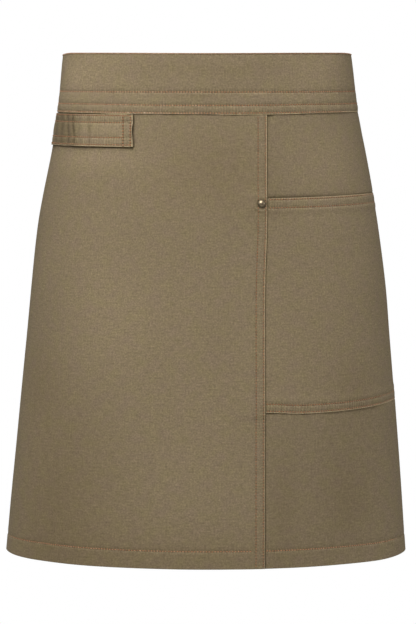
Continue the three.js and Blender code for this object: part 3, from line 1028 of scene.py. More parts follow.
class APRON_OT_pocket(bpy.types.Operator):
    """Makes the patch pocket, with its turned mouth, bottom and side"""

    bl_idname = "apron.pocket"
    bl_label = "Pocket"

    def execute(self, context):
        zone, coarse, fine = 26.0, 3.6, 0.55
        upper = refined(TURN_RADIUS, zone, coarse, [(row, fine) for row in MOUTH_ROWS])[1:]
        lower = refined(zone, TURN_RADIUS, coarse, [(row, fine) for row in BOTTOM_ROWS])[:-1]
        tuck = refined(-POCKET_TUCK, zone, coarse, [(0.0, 0.7)])
        rows = [("mouth", inset, deep) for inset, deep in turned_edge(MOUTH_TURN)[::-1]]
        rows += [("mouth", inset, 0.0) for inset in upper]
        rows += [("middle", share, 0.0) for share in np.linspace(0, 1, 52)[1:-1]]
        rows += [("bottom", inset, 0.0) for inset in lower]
        rows += [("bottom", inset, deep) for inset, deep in turned_edge(POCKET_TURN)]
        columns = [("left", inset, 0.0) for inset in tuck]
        columns += [("middle", share, 0.0) for share in np.linspace(0, 1, 58)[1:-1]]
        columns += [("right", inset, 0.0) for inset in lower]
        columns += [("right", inset, deep) for inset, deep in turned_edge(POCKET_TURN)]

        level = np.linspace(POCKET_MOUTH, POCKET_BOTTOM, len(rows))
        angle = np.stack([
            between_edges(column[:2], level, beside_seam, zone, pocket_angle, zone) for column in columns
        ], axis=1)
        drop = np.zeros_like(angle)
        for r, (side, value, _) in enumerate(rows):
            mouth, bottom = pocket_drops(angle[r])
            share = {"mouth": 0, "bottom": 1}.get(side, value)
            inset = {"mouth": value, "bottom": -value}.get(side, zone * (1 - 2 * value))
            drop[r] = mouth + (bottom - mouth) * share + inset
        row_depth = np.array([row[2] for row in rows])[:, None]
        column_depth = np.array([column[2] for column in columns])[None, :]
        offset = pocket_offset(angle, drop) - np.maximum(row_depth, column_depth)
        points = cloth_point(angle, drop, offset)
        u, v = cut_lengths(points)
        piece = grid_piece("pocket_cloth", points, u + UV_STARTS["pocket"], v, pocket_marks(angle, drop))
        thicken(piece, CLOTH)
        dress(piece, "pocket", twill("apron_twill"))
        declare_sheet(piece, points)
        return {"FINISHED"}


def pressed_end(away):
    """How thick a band or strap is near its end: about a third at the end itself, and 1 away from it."""
    return 0.35 + 0.65 * away


class APRON_OT_waistband(bpy.types.Operator):
    """Makes the folded waistband over the panels' top edges"""

    bl_idname = "apron.waistband"
    bl_label = "Waistband"

    def execute(self, context):
        edge, fine = BAND_EDGE - TURN_RADIUS, 0.5
        face = refined(TOP_FOLD, edge, 3.6, [(place, fine) for place in (*BAND_ROWS, TOP_FOLD, edge)])
        turning = [(BAND_EDGE - inset, deep) for inset, deep in turned_edge(11)]
        path = [("outer", drop, deep) for drop, deep in turning[::-1]]
        path += [("outer", drop, 0.0) for drop in face[::-1][1:]]
        path += [("fold", turn, 0.0) for turn in np.linspace(0, math.pi, 11)[1:-1]]
        path += [("inner", drop, 0.0) for drop in face[:-1]]
        path += [("inner", drop, -deep) for drop, deep in turning]
        ends = [(end, 0.006) for end in (-BACK_EDGE, BACK_EDGE)]
        angles = np.array(refined(-BACK_EDGE, BACK_EDGE, 0.0185, ends))
        pressed = pressed_end(ease(BACK_EDGE - np.abs(angles), 0, 0.012))
        core = -0.4
        points = np.zeros((len(path), len(angles), 3))
        for r, (side, value, deep) in enumerate(path):
            if side == "fold":
                outer, inner = band_outer(angles, TOP_FOLD), band_inner(angles, TOP_FOLD)
                down = TOP_FOLD - TOP_FOLD * math.sin(value)
                offset = (outer + inner) / 2 + (outer - inner) / 2 * math.cos(value)
            else:
                layer = band_outer if side == "outer" else band_inner
                down = value
                offset = layer(angles, value) - deep
            points[r] = cloth_point(angles, band_drop(angles, down), core + (offset - core) * pressed)
        u, v = cut_lengths(points)
        downs = np.array([0.0 if side == "fold" else value for side, value, _ in path])[:, None] + 0 * angles
        belows = [downs - band_row(row, angles) for row in BAND_ROWS]
        # The band's lower edge is paler, partly by wear and partly by a painted highlight; rolled paints
        # light and shade by its rows
        marks = {
            "tone": cloth_tone(angles, downs) * worn(BAND_EDGE - downs, "band") * rolled(*belows),
            "gather_u": drawn_up(*belows),
        }
        piece = grid_piece("waistband_cloth", points, u + UV_STARTS["waistband"], v, marks)
        thicken(piece, CLOTH)
        dress(piece, "waistband", twill("apron_twill"))
        declare_sheet(piece, points)
        return {"FINISHED"}


def strap_ring(width, thickness, features):
    """Once round a flat strap's section: (down, side) pairs, side 1 on its outer face and -1 on its inner."""
    radius = thickness / 2
    face = refined(radius, width - radius, 2.6, features)
    edge = [(radius * (1 - math.sin(turn)), math.cos(turn)) for turn in np.linspace(0, math.pi, 8)[1:-1]]
    ring = [(down, 1.0) for down in face[::-1]] + edge
    ring += [(down, -1.0) for down in face]
    return ring + [(width - down, -side) for down, side in edge]


def strap_piece(name, points, marks):
    """A closed strap from rings of points: the grid is rolled shut, and its ends are filled."""
    closed = np.concatenate([points, points[:1]], axis=0)
    u, v = cut_lengths(closed)
    marks = {mark: np.concatenate([values, values[:1]], axis=0) for mark, values in marks.items()}
    piece = grid_piece(name, closed, u + UV_STARTS["straps"], v, marks)
    select_only(piece)
    bpy.ops.object.mode_set(mode="EDIT")
    bpy.ops.mesh.select_all(action="SELECT")
    bpy.ops.mesh.remove_doubles(threshold=0.01 * MM)
    bpy.ops.mesh.select_all(action="SELECT")
    bpy.ops.mesh.fill_holes(sides=0)
    bpy.ops.mesh.select_all(action="SELECT")
    bpy.ops.mesh.normals_make_consistent(inside=False)
    bpy.ops.object.mode_set(mode="OBJECT")
    bpy.ops.object.shade_smooth_by_angle(angle=math.radians(60))
    return piece


def strap_points(ring, shares, end, top, thickness, angle_at, inner_face, relief):
    """Points of a strap on the worn form, with its ends pressed thin over the last few millimetres."""
    points = np.zeros((len(ring), len(shares), 3))
    for r, (down, side) in enumerate(ring):
        drop = top + down
        middle = inner_face(shares, down) + thickness / 2
        offset = middle + side * pressed_end(end) * (thickness / 2 + relief(shares, down))
        points[r] = cloth_point(angle_at(shares, drop), drop, offset)
    return points


class APRON_OT_side_loop(bpy.types.Operator):
    """Makes the sewn strap on the left hip"""

    bl_idname = "apron.side_loop"
    bl_label = "Side Loop"

    def execute(self, context):
        ring = strap_ring(LOOP_WIDTH, LOOP_THICKNESS, [(row, 0.5) for row in LOOP_ROWS])
        middle = LOOP_TOP + LOOP_WIDTH / 2
        reach = float((loop_front(middle) - LOOP_BACK) * WAIST_RADIUS)
        fine = [(0.0, 0.002), (LOOP_CUT, 0.002)] + [(1 - row / reach, 0.0022) for row in LOOP_END_ROWS]
        shares = np.array(refined(0.0, LOOP_CUT, 0.0042, fine) + [1.0])
        end = np.sqrt(ease(shares * reach, 0, 1.2))
        points = strap_points(
            ring, shares, end, LOOP_TOP, LOOP_THICKNESS, loop_angle, loop_stand_off, loop_relief)
        downs = np.array([down for down, _ in ring])[:, None] + 0 * shares
        piece = strap_piece("side_loop_cloth", points, loop_marks(shares + 0 * downs, downs))
        dress(piece, "side_loop", twill("apron_twill"))
        return {"FINISHED"}


def strap_relief(share, down):
    relief = 0.12 * np.sin(math.pi * down / STRAP_WIDTH) + 0 * share
    for row in STRAP_ROWS:
        relief = relief + sewn(down - row, share * STRAP_REACH)
    return relief


def strap_angle(share, drop):
    return STRAP_START + (2 * math.pi - 2 * STRAP_START) * share + 0 * drop


def strap_inner(share, down):
    return STRAP_OUTER - STRAP_THICKNESS + 0 * share


class APRON_OT_back_strap(bpy.types.Operator):
    """Makes the plain strap that closes the waist behind"""

    bl_idname = "apron.back_strap"
    bl_label = "Back Strap"

    def execute(self, context):
        ring = strap_ring(STRAP_WIDTH, STRAP_THICKNESS, [(row, 0.5) for row in STRAP_ROWS])
        shares = np.array(refined(0.0, 1.0, 0.011, [(0.0, 0.002), (1.0, 0.002)]))
        end = np.sqrt(ease(np.minimum(shares, 1 - shares) * STRAP_REACH, 0, 1.4))
        points = strap_points(
            ring, shares, end, STRAP_TOP, STRAP_THICKNESS, strap_angle, strap_inner, strap_relief)
        downs = np.array([down for down, _ in ring])[:, None] + 0 * shares
        marks = {"gather_u": drawn_up(*[downs - row for row in STRAP_ROWS])}
        piece = strap_piece("back_strap_cloth", points, marks)
        dress(piece, "back_strap", twill("apron_twill"))
        return {"FINISHED"}


def rivet_frame():
    """The rivet's place on the lap, in metres, and the turn from +Z to the cloth's outward normal."""
    drop = np.array(RIVET_DROP)
    angle = beside_seam(-RIVET_FROM_SEAM, drop)
    seat = front_offset(angle, drop) + CLOTH / 2
    place = Vector(cloth_point(angle, drop, seat) * MM)
    return place, Vector(outward(angle, drop)).to_track_quat("Z", "Y")


# The rivet's cap from its rim to its middle: shares of the radius, heights over the cloth and wear
RIVET_CAP = table(
    "share height wear",
    (1.0, 0.3, 0.0),
    (0.98, 0.65, 0.05),
    (0.92, 0.95, 0.1),
    (0.84, 1.12, 0.12),
    (0.75, 1.25, 0.25),
    (0.65, 1.5, 0.6),
    (0.52, 1.86, 0.9),
    (0.38, 2.14, 1.0),
    (0.24, 2.32, 0.9),
    (0.1, 2.4, 0.8),
)
RIVET_REST_WEAR = 0.1
# The side of the cap that has a painted highlight, as an angle from its right
RIVET_LIT_SIDE = math.radians(145)


class APRON_OT_rivet(bpy.types.Operator):
    """Makes the domed rivet at the pocket's corner, with its post and its foot inside"""

    bl_idname = "apron.rivet"
    bl_label = "Rivet"

    def execute(self, context):
        place, turn = rivet_frame()
        post, foot, foot_height, through, rim = 1.5, 4.0, 0.8, 4.6, 0.1
        bpy.ops.object.select_all(action="DESELECT")
        bpy.ops.mesh.primitive_circle_add(vertices=48, radius=foot * MM, fill_type="NGON")
        piece = bpy.context.object
        piece.name = piece.data.name = "rivet_brass"
        bpy.ops.object.mode_set(mode="EDIT")
        bpy.ops.mesh.select_all(action="SELECT")
        bpy.ops.transform.translate(value=(0, 0, -(through + foot_height) * MM))
        bpy.ops.mesh.flip_normals()

        def ring(radius_share, rise):
            bpy.ops.mesh.extrude_region_move(TRANSFORM_OT_translate={"value": (0, 0, rise * MM)})
            bpy.ops.transform.resize(value=(radius_share, radius_share, 1))

        ring(1.0, foot_height)
        ring(post / foot, 0.0)
        ring(1.0, through + rim)
        ring(RIVET_RADIUS / post, 0.0)
        share, height = 1.0, rim
        for step in RIVET_CAP:
            ring(step["share"] / share, step["height"] - height)
            share, height = step["share"], step["height"]
        bpy.ops.mesh.select_all(action="SELECT")
        bpy.ops.mesh.remove_doubles(threshold=0.01 * MM)
        bpy.ops.mesh.normals_make_consistent(inside=False)
        bpy.ops.object.mode_set(mode="OBJECT")
        bpy.ops.object.shade_smooth_by_angle(angle=math.radians(50))
        radii = np.array([step["share"] * RIVET_RADIUS for step in RIVET_CAP])[::-1]
        wear = np.array([step["wear"] for step in RIVET_CAP])[::-1]
        x, y, z = np.array([vertex.co for vertex in piece.data.vertices]).T / MM
        # Wear on the cap, with a painted highlight on its upper left side
        lit_side = 0.75 + 0.25 * np.cos(np.arctan2(y, x) - RIVET_LIT_SIDE)
        cap_wear_and_highlight = lit_side * np.interp(np.hypot(x, y), radii, wear)
        add_mark(piece.data, "tone", np.where(z > 2 * rim, cap_wear_and_highlight, RIVET_REST_WEAR))
        piece.rotation_mode = "QUATERNION"
        piece.rotation_quaternion = turn
        piece.location = place
        select_only(piece)
        bpy.ops.object.transform_apply(location=True, rotation=True, scale=True)
        piece.rotation_mode = "XYZ"
        dress(piece, "rivet", brass("apron_brass"))
        return {"FINISHED"}


# Stitches: the height of the thread over the cloth and its girth along one stitch, and its unevenness
STITCH_LIFT = np.array([-0.22, 0.1, 0.2, 0.1, -0.22])
STITCH_GIRTH = np.array([0.7, 1.0, 1.05, 1.0, 0.7])
STITCH_SIDES = 6
STITCH_SEED = 7
UNEVEN = {"start": 0.05, "length": 0.05, "aside": 0.07, "slant": 0.1, "tone": 0.09}
THREAD_FLATTENED = 0.85
# How much painted shade darkens the upper side of each stitch, under the groove's lip
UPPER_SIDE_SHADE = 0.25

# Where rows stop: millimetres past the lap's edge, and radians before an outer or back edge
SEAM_GAP = 0.8
END_GAP = 0.01

# How thick the thread of the lap, of the band's top edge and of the strap's front end is, to the rest
LAP_THREAD = 0.82
TOP_THREAD = 1.2
END_THREAD = 1.25

# How pale the thread is in each group of rows: painted light and shade, the same thread drawn paler or darker
# where the light on it differs
PALENESS = {"seam": 0.78, "pocket": 0.75, "hem": 1.0, "strap": 0.85}
BAND_PALENESS = {"right": 0.86, "left": 0.28, "left_lowest": 0.36}


def stitch_line(points, normals, pitch, length, radius, random, skip=None):
    """Vertices of every stitch along one row: (stitches, rings, sides, 3), in millimetres."""
    run = np.concatenate([[0], np.cumsum(np.linalg.norm(np.diff(points, axis=0), axis=1))])
    count = max(1, int(run[-1] // pitch))
    start = (run[-1] - count * pitch) / 2 + (pitch - length) / 2 + np.arange(count) * pitch
    start = start + random.normal(0, UNEVEN["start"], count)
    spans = length * (1 + random.normal(0, UNEVEN["length"], count))
    places = start[:, None] + spans[:, None] * np.linspace(0, 1, len(STITCH_LIFT))[None, :]

    def read(values):
        return np.stack([np.interp(places, run, values[:, k]) for k in range(3)], axis=-1)

    middle, normal = read(points), read(normals)
    normal = normal / np.linalg.norm(normal, axis=-1, keepdims=True)
    heading = np.gradient(middle, axis=1)
    heading = heading / np.linalg.norm(heading, axis=-1, keepdims=True)
    aside = np.cross(heading, normal)
    shift = random.normal(0, UNEVEN["aside"], (count, 1))
    slant = random.normal(0, UNEVEN["slant"], (count, 1))
    sway = shift + slant * np.linspace(-1, 1, len(STITCH_LIFT))
    middle = middle + aside * sway[..., None] + normal * STITCH_LIFT[None, :, None]
    if skip is not None:
        keep = np.linalg.norm(middle[:, 2] - skip, axis=-1) > RIVET_RADIUS - 0.2
        middle, normal, aside = middle[keep], normal[keep], aside[keep]
    turn = np.arange(STITCH_SIDES) * 2 * math.pi / STITCH_SIDES
    girth = radius * STITCH_GIRTH[None, :, None, None]
    outer = normal[:, :, None] * (THREAD_FLATTENED * np.cos(turn))[:, None]
    beside = aside[:, :, None] * np.sin(turn)[:, None]
    return middle[:, :, None] + girth * (outer + beside)


def band_paleness(stitches, row):
    """How pale each stitch of a band row is, by painted light: paler to the left, most of all along the lower
    edge.
    """
    left = 1 - ease(stitches[:, 0, 0, 0], -50, 70)
    change = BAND_PALENESS["left_lowest"] if row == BAND_ROWS[-1] else BAND_PALENESS["left"]
    return BAND_PALENESS["right"] + change * left


def stitch_piece(name, lines, random, paleness=1.0):
    """One mesh of all the stitches in some rows."""
    rings = np.concatenate(lines)
    count, along_stitch, sides = rings.shape[:3]
    per_stitch = along_stitch * sides
    faces = []
    for ring in range(along_stitch - 1):
        for side in range(sides):
            after = (side + 1) % sides
            low, high = ring * sides, (ring + 1) * sides
            faces.append((low + side, high + side, high + after, low + after))
    faces.append(tuple(range(sides)))
    faces.append(tuple(per_stitch - 1 - side for side in range(sides)))
    starts = np.arange(count) * per_stitch
    mesh = bpy.data.meshes.new(name)
    corners = np.concatenate([np.array(face)[None, :] + starts[:, None] for face in faces], axis=1)
    sizes = np.array([len(face) for face in faces])
    mesh.vertices.add(count * per_stitch)
    mesh.vertices.foreach_set("co", (rings * MM).astype(np.float32).ravel())
    mesh.loops.add(corners.size)
    mesh.loops.foreach_set("vertex_index", corners.astype(np.int32).ravel())
    mesh.polygons.add(count * len(faces))
    loop_starts = np.concatenate([[0], np.cumsum(np.tile(sizes, count))[:-1]])
    mesh.polygons.foreach_set("loop_start", loop_starts.astype(np.int32))
    mesh.update(calc_edges=True)
    mesh.validate()
    shade = paleness * (1 + random.normal(0, UNEVEN["tone"], count))
    # Painted shade on each stitch's upper side
    lift = rings[..., 2] - rings[..., 2].mean(axis=2, keepdims=True)
    tone = shade[:, None, None] * (1 - UPPER_SIDE_SHADE * lift / lift.max())
    ply = np.tile(np.repeat(np.arange(along_stitch) / (along_stitch - 1), sides), count)
    for mark_name, values in (("tone", tone), ("ply", ply)):
        add_mark(mesh, mark_name, values)
    piece = bpy.data.objects.new(name, mesh)
    bpy.context.scene.collection.objects.link(piece)
    select_only(piece)
    bpy.ops.object.shade_smooth()
    dress(piece, None, thread("apron_thread"))
    return piece


def row_path(angle, drop, offset, face):
    """Points and normals of a row on a layer's outer face (face 1) or inner face (face -1)."""
    angle, drop, offset = np.broadcast_arrays(angle, drop, offset)
    points = cloth_point(angle, drop, offset + face * CLOTH / 2)
    return points, outward(angle, drop) * face


def hip_sink(angle, start=1.0, depth=0.4):
    """How far a row beds into the cloth where it is stretched round a hip."""
    around = np.abs(angle)
    return depth * ease(around, start, start + 0.25) * (1 - ease(around, 1.6, 1.75))


class APRON_OT_stitches(bpy.types.Operator):
    """Makes the rows of stitches on every seam, outside and inside"""

    bl_idname = "apron.stitches"
    bl_label = "Stitches"

    def execute(self, context):
        sizes = context.scene.apron_sizes
        pitch, length = sizes.stitch_pitch / MM, sizes.stitch_length / MM
        radius = sizes.thread_radius / MM
        random = np.random.default_rng(STITCH_SEED)

        def sew(path, thick=1.0, step=pitch, span=length, skip=None):
            points, normals = path
            return stitch_line(points, normals, step, span, radius * thick, random, skip)

        band, paleness = self.band(sew, pitch)
        stitch_piece("band_stitches", band, random, paleness)
        stitch_piece("seam_stitches", self.seam(sew), random, PALENESS["seam"])
        stitch_piece("pocket_stitches", self.pocket(sew), random, PALENESS["pocket"])
        stitch_piece("hem_stitches", self.hem(sew), random, PALENESS["hem"])
        stitch_piece("strap_stitches", self.straps(sew, pitch), random, PALENESS["strap"])
        return {"FINISHED"}

    def band(self, sew, pitch):
        """The band's rows, outside and inside, the close row along its top edge, and how pale they are."""
        around = np.linspace(-BACK_EDGE + 0.02, BACK_EDGE - 0.02, 700)
        lines = []
        for row in BAND_ROWS:
            drop = band_row(row, around)
            sunk = hip_sink(np.maximum(around, 0), 0.95, 0.6) if row == BAND_ROWS[-1] else 0
            lines.append(sew(row_path(around, drop, band_outer(around, drop) - sunk, 1)))
            lines.append(sew(row_path(around, drop, band_inner(around, drop), -1)))
        bedded, lean = 0.12, 0.8
        top = band_outer(around, TOP_FOLD) - bedded
        points, normals = row_path(around, band_drop(around, TOP_ROW), top, 1)
        facing = normals + np.array([0, 0, lean])
        lines.append(sew((points, facing), TOP_THREAD, pitch / 2, pitch / 2.1))
        rows = [*np.repeat(BAND_ROWS, 2), TOP_ROW]
        paleness = [band_paleness(stitches, row) for stitches, row in zip(lines, rows)]
        return lines, np.concatenate(paleness)

    def seam(self, sew):
        """The lap's rows, which leave out the stitches under the rivet."""
        rivet = np.array(rivet_frame()[0]) / MM
        down = np.linspace(BAND_HEIGHT + 1, LENGTH - 1.2, 900)
        lines = []
        for row in LAP_ROWS:
            angle = beside_seam(-row, down)
            lines.append(sew(row_path(angle, down, front_offset(angle, down), 1), LAP_THREAD, skip=rivet))
            lines.append(sew(row_path(angle, down, side_offset(angle, down), -1)))
        return lines

    def pocket(self, sew):
        """The rows along the pocket's mouth, its bottom and its outer edge."""
        lines = []
        for mouth_row, bottom_row in zip(MOUTH_ROWS, BOTTOM_ROWS):
            angle = np.linspace(float(beside_seam(SEAM_GAP, POCKET_MOUTH)), POCKET_EDGE - END_GAP, 500)
            drop = pocket_drops(angle)[0] + mouth_row
            lines.append(sew(row_path(angle, drop, pocket_offset(angle, drop) - hip_sink(angle), 1)))
            angle = np.linspace(float(beside_seam(SEAM_GAP, POCKET_BOTTOM)), POCKET_EDGE - END_GAP, 500)
            drop = pocket_drops(angle)[1] - bottom_row
            lines.append(sew(row_path(angle, drop, pocket_offset(angle, drop) - hip_sink(angle), 1)))
            lines.append(sew(row_path(angle, drop, side_offset(angle, drop), -1)))
            drop = np.linspace(POCKET_MOUTH, POCKET_BOTTOM - POCKET_BOTTOM_RISES["hip"] - 2, 400)
            angle = pocket_angle(bottom_row, drop)
            lines.append(sew(row_path(angle, drop, pocket_offset(angle, drop), 1)))
            lines.append(sew(row_path(angle, drop, side_offset(angle, drop), -1)))
        return lines

    def hem(self, sew):
        """The hem's row on each panel, and the row along each back edge."""
        lap_foot = float(beside_seam(-LAP - 1, HEM_ROW))
        seam_edge = float(beside_seam(SEAM_GAP, HEM_ROW))
        back = BACK_EDGE - END_GAP
        left = (-back, lap_foot, front_offset, 1.22)
        right = (seam_edge, back, side_offset, 1.08)
        lines = []
        for start, stop, layer, sunk_from in (left, right):
            angle = np.linspace(start, stop, 600)
            offset = layer(angle, HEM_ROW)
            lines.append(sew(row_path(angle, HEM_ROW, offset - hip_sink(angle, sunk_from, 0.7), 1)))
            lines.append(sew(row_path(angle, HEM_ROW + 0.6, offset - TURNED, -1)))
        down = np.linspace(BAND_HEIGHT + 1, LENGTH - 1, 700)
        for side, layer in ((-1, front_offset), (1, side_offset)):
            angle = side * back_angle(BACK_ROW, down)
            offset = layer(angle, down)
            lines.append(sew(row_path(angle, down, offset, 1)))
            lines.append(sew(row_path(angle, down, offset - TURNED * (1 + over_hem(down)), -1)))
        return lines

    def straps(self, sew, pitch):
        """The hip strap's rows along it and across its ends, and the rows of the strap behind."""
        lines = []
        for row in LOOP_ROWS:
            end_row = LOOP_END_ROWS[0] if row in (LOOP_ROWS[0], LOOP_ROWS[-1]) else LOOP_END_ROWS[1]
            stop = loop_share(angle_at_x(LOOP_FRONT_X - end_row, LOOP_TOP + row), LOOP_TOP + row)
            share = np.linspace(0.004, float(stop), 500)
            lines.append(sew(self.loop_row(share, row + 0 * share)))
        for row in LOOP_END_ROWS:
            overrun = 2.2 if row == LOOP_END_ROWS[1] else 0.0
            across = np.linspace(0.4, LOOP_WIDTH - 0.3 + overrun, 90)
            lines.append(sew(self.loop_end(row, across), END_THREAD, pitch, 0.82 * pitch))
        back_row = np.linspace(0.5, LOOP_WIDTH - 0.5, 80)
        lines.append(sew(self.loop_row(0.02 + 0 * back_row, back_row)))
        share = np.linspace(0.01, 0.99, 500)
        for row in STRAP_ROWS:
            offset = STRAP_OUTER - CLOTH / 2 + strap_relief(share, row)
            lines.append(sew(row_path(strap_angle(share, 0), STRAP_TOP + row, offset, 1)))
        return lines

    @staticmethod
    def loop_row(share, down):
        drop = LOOP_TOP + down
        return row_path(loop_angle(share, drop), drop, loop_outer(share, down), 1)

    @staticmethod
    def loop_end(row, down):
        """A row across the strap's front end, its last stitch on the panel below."""
        raised, margin = 0.2, 0.6
        drop = LOOP_TOP + down
        angle = angle_at_x(LOOP_FRONT_X - row, drop)
        inside = np.clip(down, margin, LOOP_WIDTH - margin)
        offset = loop_outer(loop_share(angle, drop), inside)
        beyond = ease(down, LOOP_WIDTH - 0.4, LOOP_WIDTH + 0.6)
        offset = offset + (front_offset(angle, drop) - offset) * beyond + raised
        return row_path(angle, drop, offset, 1)


# Materials

def node_material(name):
    """A new material with its node tree, and its shader."""
    material = bpy.data.materials.new(name)
    material.use_nodes = True
    return material, material.node_tree, material.node_tree.nodes["Principled BSDF"]


def set_inputs(tree, node, inputs):
    """Links the inputs that come from other nodes, and sets the others to their values."""
    for key, value in dict(inputs).items():
        if isinstance(value, bpy.types.NodeSocket):
            tree.links.new(value, node.inputs[key])
        else:
            node.inputs[key].default_value = value


def add_node(tree, kind, inputs=(), **settings):
    node = tree.nodes.new(kind)
    for key, value in settings.items():
        setattr(node, key, value)
    set_inputs(tree, node, inputs)
    return node


def map_range(tree, value, low, high, to_low=0.0, to_high=1.0, **settings):
    return add_node(tree, "ShaderNodeMapRange", {
        "Value": value, "From Min": low, "From Max": high, "To Min": to_low, "To Max": to_high,
    }, **settings).outputs["Result"]


def mix_colours(tree, factor, first, second):
    mix = add_node(tree, "ShaderNodeMix", {"Factor": factor, "A": first, "B": second}, data_type="RGBA")
    return mix.outputs["Result"]


def vector_math(tree, operation, inputs, output="Vector"):
    return add_node(tree, "ShaderNodeVectorMath", inputs, operation=operation).outputs[output]


def bump(tree, height, strength, distance):
    return add_node(tree, "ShaderNodeBump", {
        "Height": height, "Strength": strength, "Distance": distance}).outputs["Normal"]


def noise(tree, vector, scale, stretch=(1, 1, 1), detail=2.0):
    """Noise over some coordinates, from 0 to 1, at a scale in repeats per metre."""
    mapping = add_node(tree, "ShaderNodeMapping", {"Vector": vector, "Scale": stretch})
    return add_node(tree, "ShaderNodeTexNoise", {
        "Vector": mapping.outputs["Vector"], "Scale": scale, "Detail": detail, "Roughness": 0.55,
    }).outputs["Fac"]


def math_node(tree, operation, *values):
    return add_node(tree, "ShaderNodeMath", dict(enumerate(values)), operation=operation).outputs["Value"]


def product(tree, *values):
    result = values[0]
    for value in values[1:]:
        result = math_node(tree, "MULTIPLY", result, value)
    return result


def total(tree, *values):
    result = values[0]
    for value in values[1:]:
        result = math_node(tree, "ADD", result, value)
    return result


def around_one(tree, value, change):
    """A factor that is 1 where the value is a half."""
    return math_node(tree, "MULTIPLY_ADD", value, change, 1 - change / 2)


def mark(tree, name):
    return add_node(tree, "ShaderNodeAttribute", attribute_name=name).outputs["Fac"]


def crimp(tree, cloth, gather, way, stretch, strength):
    """Small folds across a row of stitches, above and below 0, one for each stitch and some uneven."""
    wave = add_node(tree, "ShaderNodeTexWave", {
        "Vector": cloth, "Scale": math.pi / 10 / bpy.context.scene.apron_sizes.stitch_pitch,
        "Distortion": 2.5, "Detail": 1.0, "Detail Scale": 1.5,
    }, wave_type="BANDS", bands_direction=way, wave_profile="SIN").outputs["Fac"]
    uneven = noise(tree, cloth, 290.0, stretch, 1.0)
    folds = total(tree, product(tree, wave, 0.6), product(tree, uneven, 0.8), -0.7)
    near = mark(tree, gather)
    gathered = total(tree, product(tree, near, 0.65), product(tree, math_node(tree, "POWER", near, 6.0), 0.6))
    return product(tree, gathered, folds, strength)


def paint(colour, shade=1.0):
    """A colour, lightened or darkened, with an alpha of 1."""
    return (*[channel * shade for channel in colour], 1)


# Twill: its warmer tint where painted shade darkens it, the slant of its ribs, and how far its layers change
# its tone and, in millimetres, its height; the crimps' change of tone is painted light and shade on their
# small folds
SHADE_TINT = (1.0, 0.98, 0.92)
RIB_SLANT = math.radians(28)
TWILL_TONES = {"grain": 1.0, "ribs": 0.12, "warp": 0.35, "weft": 0.45, "cloud": 0.1}
TWILL_HEIGHTS = {"ribs": 0.05, "warp": 0.06, "weft": 0.06, "grain": 0.12}
CRIMP = {"tone": 0.3, "height": 0.4}


def twill(name, shade=1.0):
    """Olive-brown cotton twill: diagonal ribs, uneven yarns, soft mottling and gathers along stitches."""
    found = bpy.data.materials.get(name)
    if found:
        return found
    colours, sizes = bpy.context.scene.apron_colours, bpy.context.scene.apron_sizes
    material, tree, shader = node_material(name)
    cloth = add_node(tree, "ShaderNodeUVMap").outputs["UV"]
    slanted = add_node(tree, "ShaderNodeMapping", {"Vector": cloth, "Rotation": (0, 0, RIB_SLANT)})
    ribs = add_node(tree, "ShaderNodeTexWave", {
        "Vector": slanted.outputs["Vector"], "Scale": math.pi / 10 / sizes.weave, "Distortion": 1.2,
        "Detail": 2.0, "Detail Scale": 2.5, "Detail Roughness": 0.6,
    }, wave_type="BANDS", bands_direction="X", wave_profile="SIN").outputs["Fac"]
    layers = {
        "ribs": ribs,
        "warp": noise(tree, cloth, 450.0, (1, 0.25, 1)),
        "weft": noise(tree, cloth, 450.0, (0.25, 1, 1)),
        "grain": noise(tree, cloth, 520.0),
        "cloud": noise(tree, cloth, 9.0, detail=3.0),
    }
    mottle = noise(tree, cloth, 60.0)
    crimp_u = crimp(tree, cloth, "gather_u", "X", (1, 0.1, 1), 0.85)
    crimp_v = crimp(tree, cloth, "gather_v", "Y", (0.1, 1, 1), 0.35)
    crimps = total(tree, crimp_u, crimp_v)

    hue = map_range(tree, mottle, 0.3, 0.7)
    base = mix_colours(tree, hue, paint(colours.olive, shade), paint(colours.khaki, shade))
    tone = mark(tree, "tone")
    # Where painted shade lowers the tone, the colour turns warmer
    painted_shade = vector_math(tree, "MULTIPLY", {0: base, 1: SHADE_TINT})
    dyed = mix_colours(tree, map_range(tree, tone, 0.8, 1.0), painted_shade, base)
    tones = [around_one(tree, layers[layer], change) for layer, change in TWILL_TONES.items()]
    level = product(tree, tone, *tones, math_node(tree, "MULTIPLY_ADD", crimps, CRIMP["tone"], 1.0))
    heights = [product(tree, layers[layer], height) for layer, height in TWILL_HEIGHTS.items()]
    relief = total(tree, *heights, product(tree, crimps, CRIMP["height"]))
    set_inputs(tree, shader, {
        "Base Color": vector_math(tree, "SCALE", {0: dyed, "Scale": level}),
        "Roughness": map_range(tree, layers["grain"], 0.3, 0.7, 0.82, 0.96),
        "Normal": bump(tree, relief, 1.0, MM),
        "Specular IOR Level": 0.1,
        "Sheen Weight": 0.02,
        "Sheen Roughness": 0.5,
    })
    return material


# Thread: its colour where its tone is high, by wear and by painted light, and how far its plies turn along
# one stitch, in radians
PALE_THREAD = (0.42, 0.32, 0.22)
THREAD_TWIST = 22.0


